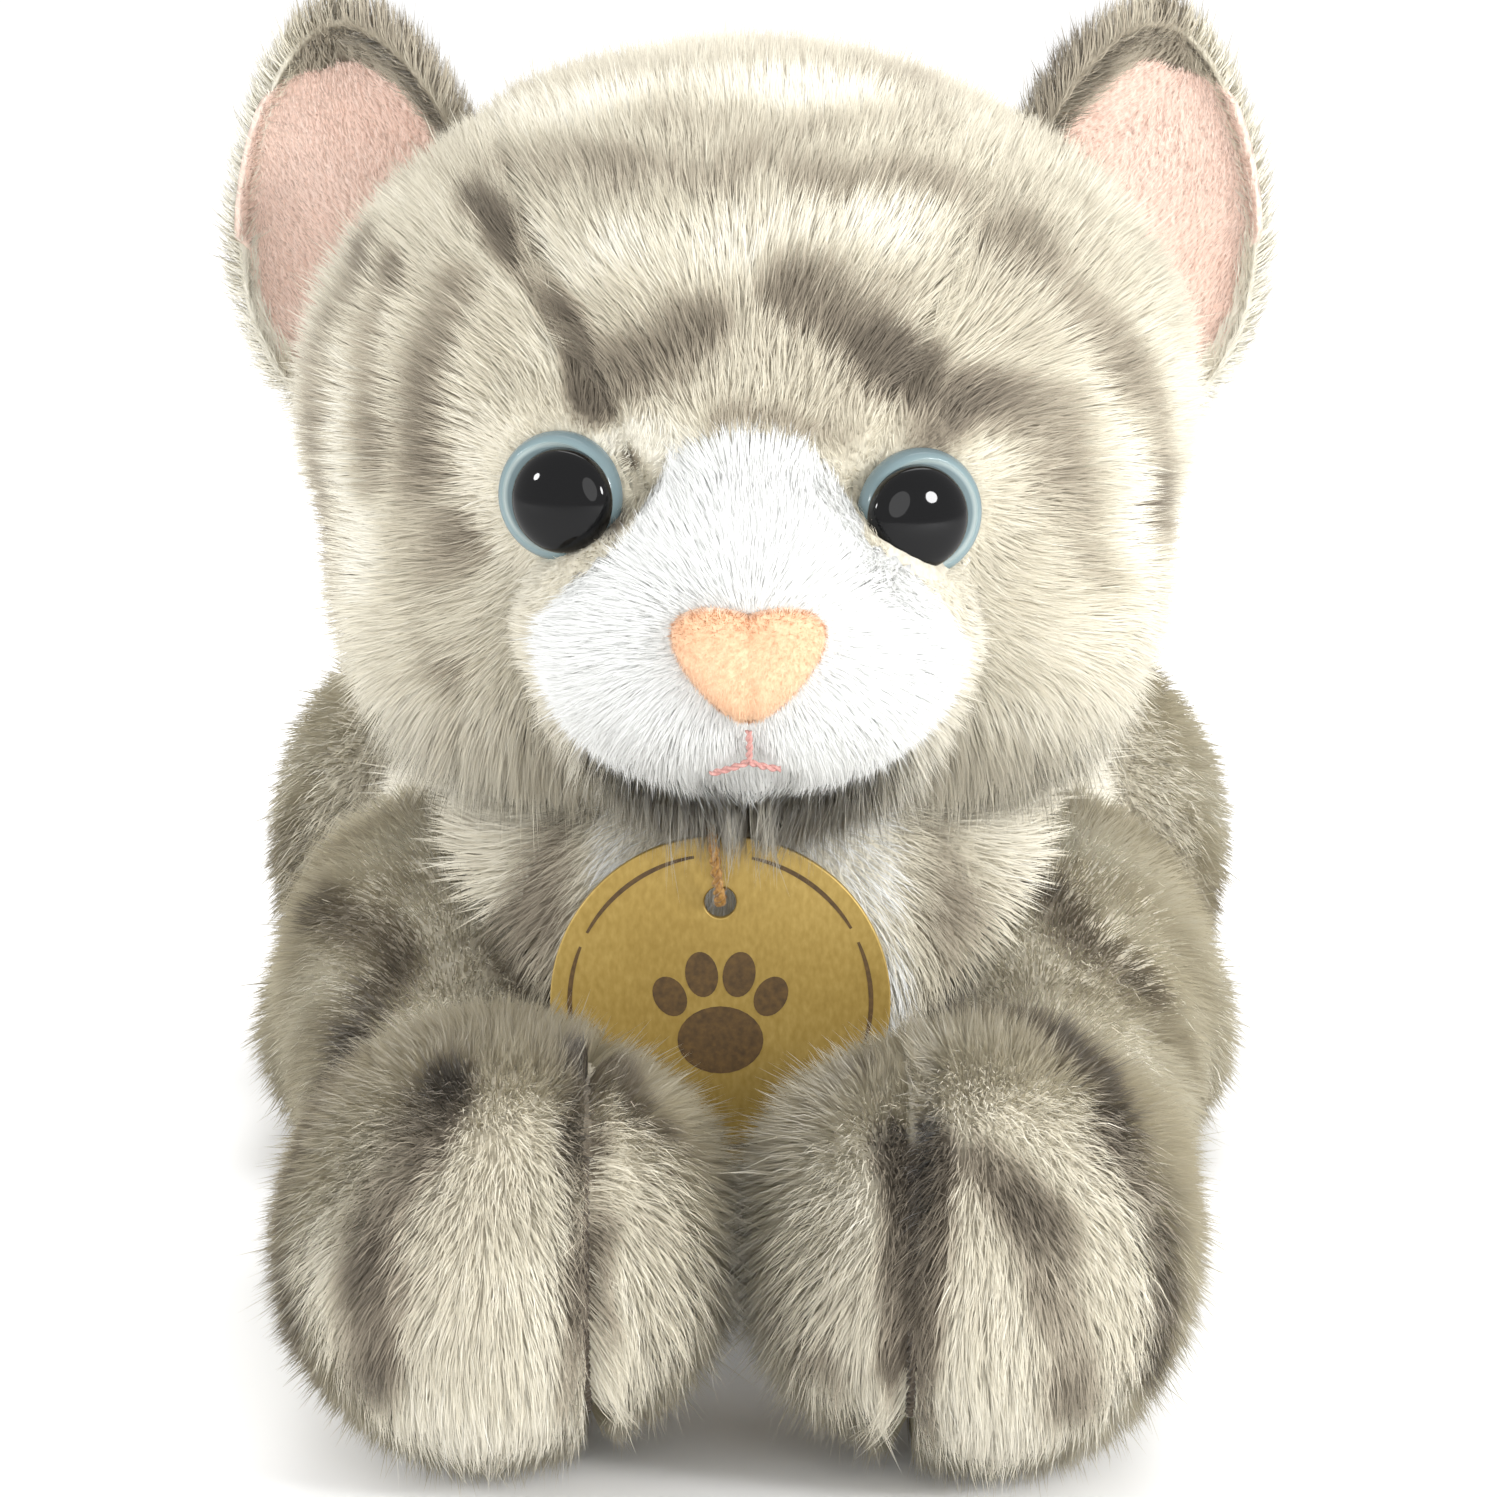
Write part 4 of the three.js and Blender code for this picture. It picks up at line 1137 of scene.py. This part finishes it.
def build_body():
    points, faces = tube(TORSO, -BACKING - SLACK, 120, 96)
    skin = new_piece("body_fabric", points, faces)
    stuffed(skin, lambda p: (np.abs(p[:, 0]) < 0.6) & (p[:, 2] > 50))
    place, facing = points_of(skin), normals_of(skin)
    place = place + facing * (0.7 * noise(place, 24, 45) + 0.3 * noise(place, 11, 46))[:, None]
    spine = spline(TORSO, 12)[:, :3]
    middles = spine[np.clip(np.searchsorted(spine[:, 1], place[:, 1]), 0, len(spine) - 1)]
    legs = [lambda p, s=name: tube_depth(p, FORELEG[s], -BACKING) for name, _ in SIDES]
    legs += [lambda p, s=sign: thigh_depth(p, s) for _, sign in SIDES]
    pushed = pressed_clear(place, middles, [*legs, lambda p: head_sweep(p, -BACKING)], 1.2)
    seams = np.exp(-(np.abs(place[:, 0]) / 1.6) ** 2) * ramp(place[:, 2], 40, 50) * 0.8
    set_points(skin, rested(pushed - facing * seams[:, None]))
    belly = split_off(skin, "belly_fabric", lambda c: (c[:, 2] < 14) | (c[:, 1] < -60))
    left = split_off(skin, "left_body_fabric", lambda c: c[:, 0] < 0)
    skin.name = "right_body_fabric"

    def shown(p):
        beside = np.min([depth(p) for depth in legs], axis=0)
        return (beside > 0.6) & (head_depth(p, -BACKING) > 0.6)

    for seed, (name, panel) in enumerate((("left_body", left), ("right_body", skin))):
        pile(f"{name}_pile", panel, "root", TABBY_PLUSH, body_tone, body_comb, 190 + seed,
             density=4.6, length=6, width=0.18, keep=shown)
        finish_skin(panel, "root", f"{name}_panel", TABBY_PLUSH, body_tone)
    pile("belly_pile", belly, "root", CHEST_PLUSH, chest_tone, body_comb, 195, density=6, length=5.6,
         keep=lambda p: shown(p) & ((p[:, 2] > 2.5) | (p[:, 1] < -50)))
    finish_skin(belly, "root", "belly_panel", CHEST_PLUSH, chest_tone)


# ---- eyes, nose and mouth ----
def rings_about_z(profile, segments):
    """A ring of points about +Z for each [radius, z] pair."""
    angle = 2 * np.pi * np.arange(segments) / segments
    return [np.stack([radius * np.cos(angle), radius * np.sin(angle), np.full(segments, z)], axis=1)
            for radius, z in profile]


def lathe(name, profile, segments=64):
    """A solid of revolution about +Z from [radius, z] pairs that start and end on the axis."""
    rows = rings_about_z(profile[1:-1], segments)
    points = np.vstack([[[0, 0, profile[0][1]]], *rows, [[0, 0, profile[-1][1]]]])
    last = len(points) - 1
    faces = [(0, 1 + (k + 1) % segments, 1 + k) for k in range(segments)]
    for ring in range(len(rows) - 1):
        base = 1 + ring * segments
        faces += [(base + k, base + (k + 1) % segments, base + segments + (k + 1) % segments,
                   base + segments + k) for k in range(segments)]
    faces += [(last, last - segments + k, last - segments + (k + 1) % segments) for k in range(segments)]
    return new_piece(name, points, faces)


def rounded(corners, radius):
    """A profile with its corners turned by a small radius."""
    rows = [corners[0]]
    for before, corner, after in zip(corners, corners[1:], corners[2:]):
        a, b, c = (np.array(point, float) for point in (before, corner, after))
        room = min(radius, 0.45 * np.linalg.norm(a - b), 0.45 * np.linalg.norm(c - b))
        start, end = b + unit(a - b) * room, b + unit(c - b) * room
        for t in np.linspace(0, 1, 5):
            rows.append(tuple((1 - t)**2 * start + 2 * t * (1 - t) * b + t**2 * end))
    return rows + [corners[-1]]


def plastic(name, stops, roughness, coat):
    """Moulded plastic whose tone follows the distance from its axis, with faint moulding marks."""
    n = Nodes(name)
    away = n.add("ShaderNodeVectorMath", {0: n.place()}, operation="LENGTH").outputs["Value"]
    scaled = n.add("ShaderNodeMath", {0: away}, operation="MULTIPLY")
    scaled.inputs[1].default_value = 100  # the stops are placed in centimetres
    n.colour(n.ramp(scaled.outputs["Value"], stops)).bump(n.noise(700, 2), 0.05, 0.05)
    n.set(Roughness=roughness, Coat_Weight=coat, Coat_Roughness=0.03, Specular_IOR_Level=0.24)
    return n.material


IRIS_LOOK = plastic("iris_plastic", [(0.0, (84, 98, 102)), (0.56, (104, 122, 126)), (0.60, (178, 192, 190)),
                                     (0.63, (122, 142, 145)), (0.70, (98, 116, 122))], 0.25, 0.3)
PUPIL_LOOK = plastic("pupil_plastic", [(0.0, (9, 9, 11)), (1.0, (4, 4, 5))], 0.04, 0.0)
WASHER_LOOK = plastic("washer_plastic", [(0.0, (214, 214, 208)), (1.0, (232, 232, 228))], 0.45, 0.1)
# profiles of [radius, z] pairs, z out of the eye from its seat
IRIS_PROFILE = [(0, -13), (2, -13), (2, -1.2), (6.4, -1.2), (6.9, -0.3), (6.9, 0.7), (6.5, 1.7), (5.9, 2.15),
                (5.5, 1.9), (0, 1.9)]
PUPIL_RIM = [(0, 2.05), (5.45, 2.05), (5.62, 2.4)]
PUPIL_DOME = [(5.5 * math.cos(t), 2.9 + 2.3 * math.sin(t)) for t in np.linspace(0, math.pi / 2, 18)]
PUPIL_PROFILE = [*PUPIL_RIM, *PUPIL_DOME[:-1], (0, 5.2)]
WASHER_RING = [(2.35, 0), (6.5, 0), (6.5, 0.5), (4.2, 1.2), (2.35, 1.2)]
WASHER_DEPTH = 7
PUPIL_SHIFT = (1.0, -0.6)


def set_eye(thing, name, sign, shift):
    """Turns a piece made about +Z to face out of its eye's seat."""
    seat, facing = eye_pose(name, sign)
    turn = Vector((0, 0, 1)).rotation_difference(Vector(facing)).to_matrix().to_4x4()
    thing.matrix_world = Matrix.Translation(Vector(seat) * MM) @ turn @ Matrix.Translation(Vector(shift) * MM)


def build_eye(name, sign):
    iris = lathe(f"{name}_iris", rounded(IRIS_PROFILE, 0.35))
    pupil = lathe(f"{name}_pupil", PUPIL_PROFILE, 80)
    washer = ring_solid(f"{name}_lock_washer", rounded([*WASHER_RING, WASHER_RING[0]], 0.2), 48)
    for thing, look, node, slot, shift in (
            (iris, IRIS_LOOK, "iris", "iris_plastic", (0, 0, 0)),
            (pupil, PUPIL_LOOK, "pupil", "pupil_plastic", (-sign * PUPIL_SHIFT[0], PUPIL_SHIFT[1], 0)),
            (washer, WASHER_LOOK, "washer", "washer_plastic", (0, 0, -WASHER_DEPTH))):
        thing.data.materials.append(look)
        set_eye(thing, name, sign, shift)
        placed(thing, f"{name}_eye_{node}", "head")


def ring_solid(name, section, segments):
    """A closed section of [radius, z] pairs swept about +Z."""
    section = [point for point, after in zip(section, section[1:]) if math.dist(point, after) > 1e-4]
    rows = rings_about_z(section, segments)
    faces = []
    for ring in range(len(rows)):
        a, b = ring * segments, (ring + 1) % len(rows) * segments
        faces += [(a + k, a + (k + 1) % segments, b + (k + 1) % segments, b + k) for k in range(segments)]
    return new_piece(name, np.vstack(rows), faces)


def on_front(x, z, grow=0.0):
    """Points of the head's front surface at given x and z."""
    x, z = np.asarray(x, float), np.asarray(z, float)
    near, far = np.full(len(x), -130.0), np.full(len(x), -45.0)
    for _ in range(40):
        y = (near + far) / 2
        outside = head_depth(np.column_stack([x, y, z]), grow) > 0
        near, far = np.where(outside, y, near), np.where(outside, far, y)
    return np.column_stack([x, near, z])


def velour_look(name, colours, scale):
    n = Nodes(name)
    tones = [(0.3 + 0.4 * k / (len(colours) - 1), colour) for k, colour in enumerate(reversed(colours))]
    n.colour(n.ramp(n.noise(scale, 4), tones)).bump(n.noise(scale * 2.2, 3), 0.5, 0.25)
    return n.set(Roughness=0.85, Sheen_Weight=0.35, Sheen_Roughness=0.4).material


PEACH_LOOK = velour_look("peach_velour_backing", PEACH, 900)
PINK_THREAD_LOOK = velour_look("pink_thread", [(216, 168, 160), (202, 150, 143), (186, 132, 127)], 2500)
TOE_THREAD_LOOK = velour_look("toe_thread", [(120, 110, 96), (98, 88, 76), (76, 68, 58)], 2500)


def build_nose():
    """A crowned heart of rings from its middle out, then a ring sunk behind its edge."""
    sides, rings = 96, 22
    outline = nose_outline(sides)
    shares = np.linspace(0.04, 1, rings)
    x = (outline[None, :, 0] * shares[:, None]).ravel()
    z = (outline[None, :, 1] * shares[:, None]).ravel() + NOSE_Z
    share = np.repeat(shares, len(outline))
    base = on_front(x, z)
    outward = unit(base - HEAD_CENTRE)
    crown = 3.2 * np.sqrt(np.clip(1 - share ** 3.2, 0, 1)) - 1.6
    crease = 0.5 * np.exp(-(x / 0.8) ** 2) * ramp(z, NOSE_Z + 3.5, NOSE_Z - 2)
    front = base + outward * (crown - crease)[:, None]
    points = np.vstack([front, on_front(outline[:, 0] * 0.9, outline[:, 1] * 0.9 + NOSE_Z, -2.6)])
    faces = ring_faces(rings + 1, sides) + [tuple(range(rings * sides, (rings + 1) * sides))]
    nose = new_piece("nose_velour", points, faces)
    pile("nose_pile", nose, "head", PEACH_VELOUR, white_tone, lambda p: np.array([0, -0.2, -1]) + 0 * p,
         210, density=30, length=0.9, lean=0.6, width=0.1, lock=0.8, clump=0.1, ruffle=0.05,
         keep=lambda p: p[:, 1] < on_front(p[:, 0], p[:, 2], -1.8)[:, 1])
    tint(nose, linear(PEACH[1]) * np.ones((len(points), 1)))
    nose.data.materials.append(PEACH_LOOK)
    placed(nose, "nose_patch", "head")


PLY_SIDES = 8


def thread(name, lines, radius, look, pitch=2.2):
    """Yarn twisted from two plies along one or more lines of points."""
    points, faces = [], []
    for line in lines:
        for phase in (0, 0.5):
            rows = sweep(line, radius * 0.62, radius * 0.5, pitch, phase)
            start, sides = len(points), PLY_SIDES
            points += rows.tolist()
            count = len(rows) // sides
            for r in range(count - 1):
                for k in range(sides):
                    a, b = start + r * sides + k, start + r * sides + (k + 1) % sides
                    faces.append((a, b, b + sides, a + sides))
            faces.append(tuple(reversed(range(start, start + sides))))
            faces.append(tuple(range(start + (count - 1) * sides, start + count * sides)))
    thing = new_piece(name, points, faces)
    thing.data.materials.append(look)
    return thing


def sweep(line, radius, wrap, pitch, phase):
    """Rings of one ply that winds about a line."""
    run = arc_length(line)
    s = np.linspace(0, run[-1], max(int(run[-1] / 0.22), 6))
    centre = np.stack([np.interp(s, run, line[:, k]) for k in range(3)], axis=1)
    tangent = unit(np.gradient(centre, axis=0))
    first = unit(np.cross(tangent[0], [0.13, 0.2, 0.97]))
    u = np.empty_like(centre)
    for i, along in enumerate(tangent):
        first = unit(first - (first @ along) * along)
        u[i] = first
    v = np.cross(tangent, u)
    turn = 2 * np.pi * (s / pitch + phase)[:, None]
    core = centre + wrap * (u * np.cos(turn) + v * np.sin(turn))
    angle = 2 * np.pi * np.arange(PLY_SIDES)[:, None] / PLY_SIDES
    ring = core[:, None] + radius * (u[:, None] * np.cos(angle) + v[:, None] * np.sin(angle))
    return ring.reshape(-1, 3)


def build_mouth():
    lines = []
    for stations in MOUTH:
        flat = line_through([(x, 0, z) for x, z in stations], 10)
        lines.append(on_front(flat[:, 0], flat[:, 2], -0.5))
    mouth = thread("mouth_thread", lines, 0.36, PINK_THREAD_LOOK)
    placed(mouth, "mouth_stitching", "head")


def lay_toe_seam(name, part, skin, body, x, top, foot):
    """A dark line of yarn sunk in the crease down the front of a foot."""
    tree = BVHTree.FromPolygons([corner.co for corner in skin.data.vertices],
                                [tuple(face.vertices) for face in skin.data.polygons])
    line = []
    for z in np.linspace(top, foot, 60):
        hit = tree.ray_cast(Vector((x, -300, z)) * MM, Vector((0, 1, 0)))[0]
        line.append([x, hit.y / MM - 0.1, z])
    yarn = thread(f"{name}_{part}_thread", [np.array(line)], 0.5, TOE_THREAD_LOOK)
    placed(yarn, f"{name}_{part}_stitching", body)


# ---- tag, cord and label ----
def gold_look():
    n = Nodes("gold_card")
    stretch = n.add("ShaderNodeMapping", {"Vector": n.place()}, Scale=(1.6, 1, 0.8))
    grain = n.add("ShaderNodeTexNoise", {"Vector": stretch.outputs["Vector"]}, Scale=1100, Detail=4)
    blend = n.add("ShaderNodeMix", {"A": grain.outputs["Fac"], "B": n.noise(60, 2)}, Factor=0.4)
    gold = [(0.35, (160, 133, 68)), (0.5, (172, 145, 78)), (0.66, (184, 157, 90))]
    n.colour(n.ramp(blend.outputs["Result"], gold))
    n.bump(grain.outputs["Fac"], 0.15, 0.05)
    return n.set(Roughness=0.38, Metallic=0.45, Specular_IOR_Level=0.5).material


def ink_look():
    n = Nodes("tag_print")
    n.colour(n.ramp(n.noise(1500, 4), [(0.3, (66, 48, 24)), (0.7, (96, 72, 36))]))
    return n.bump(n.noise(2500, 2), 0.2, 0.03).set(Roughness=0.55).material


def disc(name, centre, radius, hole, hole_up, thickness):
    """A round card with a punched hole, its edges softened."""
    bevel, around = 0.18, 128
    shape = bpy.data.curves.new(name, "CURVE")
    shape.dimensions = "2D"
    shape.fill_mode = "BOTH"
    for middle, size in (((0, 0), radius - bevel), ((0, hole_up), hole + bevel)):
        line = shape.splines.new("POLY")
        line.points.add(around - 1)
        for k, point in enumerate(line.points):
            turn = 2 * math.pi * k / around
            x, y = middle[0] + size * math.cos(turn), middle[1] + size * math.sin(turn)
            point.co = (x * MM, y * MM, 0, 1)
        line.use_cyclic_u = True
    shape.extrude = (thickness / 2 - bevel) * MM
    shape.bevel_depth = bevel * MM
    shape.bevel_resolution = 3
    flat = new_object(name, shape)
    mesh = bpy.data.meshes.new_from_object(flat.evaluated_get(bpy.context.evaluated_depsgraph_get()))
    bpy.data.objects.remove(flat)
    thing = new_object(name, mesh)
    mesh.transform(Matrix.Translation(Vector(centre) * MM) @ Matrix.Rotation(math.pi / 2, 4, "X"))
    return thing


def relief(name, outlines, y, depth=0.12):
    """Raised print: closed outlines in x and z, as thin slabs on the card's face."""
    points, faces = [], []
    for outline in outlines:
        start, count = len(points), len(outline)
        for back in (y, y + depth):
            points += [(x, back, z) for x, z in outline]
        faces.append(tuple(start + k for k in range(count)))
        faces.append(tuple(start + count + k for k in reversed(range(count))))
        faces += [(start + (k + 1) % count, start + k, start + count + k, start + count + (k + 1) % count)
                  for k in range(count)]
    return new_piece(name, points, faces, smooth=False)


def oval(x, z, wide, high, lean=0.0):
    turn = 2 * np.pi * np.arange(28) / 28
    u, v = wide * np.cos(turn), high * np.sin(turn)
    across, up = u * math.cos(lean) - v * math.sin(lean), u * math.sin(lean) + v * math.cos(lean)
    return np.column_stack([x + across, z + up])


def arc_band(x, z, radius, start, end, thick):
    """A stroke of a border ring that swells and thins, between two angles in degrees."""
    share = np.linspace(0, 1, 26)
    turn = np.radians(start + (end - start) * share)
    swell = thick * (0.35 + 0.65 * np.sin((0.12 + 0.76 * share) * np.pi))
    way = np.column_stack([np.cos(turn), np.sin(turn)])
    outer, inner = (way * (radius + side * swell / 2)[:, None] for side in (1, -1))
    return np.vstack([outer, inner[::-1]]) + [x, z]


def build_tag():
    tag = disc("tag_card", TAG_CENTRE, TAG_RADIUS, TAG_HOLE, TAG_RADIUS - TAG_DROP, 1.0)
    tag.data.materials.clear()
    tag.data.materials.append(gold_look())
    x, y, z = TAG_CENTRE
    spans = ((100, 152), (158, 200), (204, 236), (242, 296), (300, 338), (343, 384), (390, 438))
    border = [arc_band(x, z, TAG_RADIUS - 2.1, start, end, 0.5) for start, end in spans]
    paw = [oval(x, z - 4.2, 4.6, 3.7)]
    for side in (-1, 1):
        paw.append(oval(x + side * 5.4, z + 0.6, 1.7, 2.3, -side * 0.5))
        paw.append(oval(x + side * 2.0, z + 3.0, 1.75, 2.5, -side * 0.15))
    printed = relief("tag_motif", border + paw, y - 0.5 - 0.06, 0.1)
    printed.data.materials.append(ink_look())
    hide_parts("swing_tag")
    for thing in (tag, printed):
        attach(thing, "tag")
    return tag, printed


def cord_look():
    n = Nodes("gold_cord")
    n.colour(n.ramp(n.noise(2200, 4), [(0.3, (120, 82, 30)), (0.5, (164, 118, 50)), (0.7, (205, 165, 92))]))
    return n.bump(n.noise(4000, 2), 0.5, 0.05).set(Roughness=0.5, Sheen_Weight=0.3).material


CORD_DIAMETER = 1.2


def build_cord(tag_pieces):
    line = line_through(CORD, 10)
    cord = thread("tag_string", [line], CORD_DIAMETER / 2, cord_look(), 2.6)
    placed(cord, "tag_cord", "tag")


def build_label():
    """A satin label that bows a little, as wide and as deep as its room in the frame."""
    low, high = (np.array(corner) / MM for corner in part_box("care_label"))
    rows, columns = 24, 32
    points = []
    for r in range(rows):
        for k in range(columns):
            along, up = k / (columns - 1), r / (rows - 1)
            bow = 0.35 * math.sin(2.2 * along + 1.3 * up) * along
            points.append(((low[0] + high[0]) / 2 + 0.4 + bow, low[1] + (high[1] - low[1]) * along,
                           low[2] + (high[2] - low[2]) * up))
    faces = [(r * columns + k, r * columns + k + 1, (r + 1) * columns + k + 1, (r + 1) * columns + k)
             for r in range(rows - 1) for k in range(columns - 1)]
    label = new_piece("care_label_satin", points, faces)
    thicken(label, 0.35)
    n = Nodes("label_satin")
    weave = n.add("ShaderNodeTexWave", {"Vector": n.place()}, bands_direction="Z", Scale=900)
    n.colour(n.ramp(weave.outputs["Fac"], [(0.0, (232, 230, 224)), (1.0, (248, 246, 242))]))
    n.bump(weave.outputs["Fac"], 0.3, 0.05).set(Roughness=0.4, Sheen_Weight=0.4)
    label.data.materials.append(n.material)
    placed(label, "care_label", "root")


# ---- what is sewn inside: stuffing and pouches of pellets, a little smaller than their rooms ----
def fibre_look(name, colours, scale, bump):
    n = Nodes(name)
    n.colour(n.ramp(n.noise(scale, 6, 0.7), [(0.3, colours[0]), (0.7, colours[1])]))
    return n.bump(n.noise(scale * 1.7, 5), 0.9, bump).set(Roughness=1.0, Sheen_Weight=0.3).material


STUFFING_LOOK = fibre_look("stuffing", ((226, 224, 216), (250, 249, 245)), 260, 1.0)
POUCH_LOOK = fibre_look("bean_pouch", ((206, 202, 190), (232, 229, 220)), 420, 0.4)


def build_filling(node, body, look, shrink):
    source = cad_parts[node]
    filling = new_object(f"{node}_fill", source.data.copy())
    filling.data.materials.clear()
    remesh(filling, 2.4, 6)
    place, facing = points_of(filling), normals_of(filling)
    lumps = 0.3 * noise(place, 9, 51) + 0.2 * noise(place, 4, 52)
    set_points(filling, place - facing * (shrink - lumps)[:, None])
    filling.data.materials.append(look)
    placed(filling, node, body)


def build_fillings():
    fillings = [("body_stuffing", "root"), ("neck_stuffing", "neck"), ("head_stuffing", "head"),
                ("tail_stuffing", "tail")]
    for name, _ in SIDES:
        fillings += [(f"{name}_foreleg_stuffing", f"{name}_foreleg"),
                     (f"{name}_hind_leg_stuffing", f"{name}_hind_leg")]
    for node, body in fillings:
        shrink = {"neck_stuffing": 0.4, "head_stuffing": 2.8, "body_stuffing": 3.6}.get(node, 1.6)
        build_filling(node, body, STUFFING_LOOK, shrink)
    pouches = [("body_bean_pouch", "root")] + [(f"{name}_foreleg_bean_pouch", f"{name}_foreleg")
                                               for name, _ in SIDES]
    for node, body in pouches:
        build_filling(node, body, POUCH_LOOK, 0.3)


# ---- studio ----
def build_stage():
    scene = bpy.context.scene
    scene.view_settings.view_transform = "Standard"
    world = bpy.data.worlds.new("studio")
    world.use_nodes = True
    world.node_tree.nodes["Background"].inputs["Color"].default_value = (1, 1, 1, 1)
    world.node_tree.nodes["Background"].inputs["Strength"].default_value = 1.05
    scene.world = world
    mesh = bpy.data.meshes.new("floor")
    mesh.from_pydata([(-4, -4, 0), (4, -4, 0), (4, 4, 0), (-4, 4, 0)], [], [(0, 1, 2, 3)])
    floor = new_object("floor", mesh)
    n = Nodes("floor_paper")
    n.colour(n.ramp(n.noise(3, 2), [(0.3, (251, 251, 251)), (0.7, (254, 254, 254))])).set(Roughness=0.9)
    mesh.materials.append(n.material)
    aim = Vector((0, -0.06, 0.07))
    lamps = (("key", (0.15, -1.05, 0.4), 0.6, 2.1), ("left_catch", (-0.72, -0.37, 0.36), 0.11, 1.5),
             ("right_catch", (0.605, -0.575, 0.335), 0.18, 3.8), ("rear", (0.1, 0.45, 0.95), 0.8, 5.5))
    for name, place, size, power in lamps:
        light = bpy.data.lights.new(name, "AREA")
        light.shape = "DISK"
        light.size, light.energy = size, power
        lamp = new_object(name, light)
        lamp.location = place
        lamp.rotation_euler = (aim - Vector(place)).to_track_quat("-Z", "Y").to_euler()
    target, distance, lift = Vector((0, -0.085, 0.0687)), 0.705, math.radians(12)
    camera = new_object("camera", bpy.data.cameras.new("camera"))
    camera.location = target + distance * Vector((0, -math.cos(lift), math.sin(lift)))
    camera.rotation_euler = (target - camera.location).to_track_quat("-Z", "Y").to_euler()
    camera.data.sensor_width, camera.data.lens = 36, 161.1
    scene.camera = camera


build_stage()
build_head()
for side_name, side_sign in SIDES:
    build_ear(side_name, side_sign)
    build_foreleg(side_name, side_sign)
    build_hind_leg(side_name, side_sign)
    build_eye(side_name, side_sign)
build_tail()
build_body()
build_nose()
build_mouth()
build_cord(build_tag())
build_label()
build_fillings()
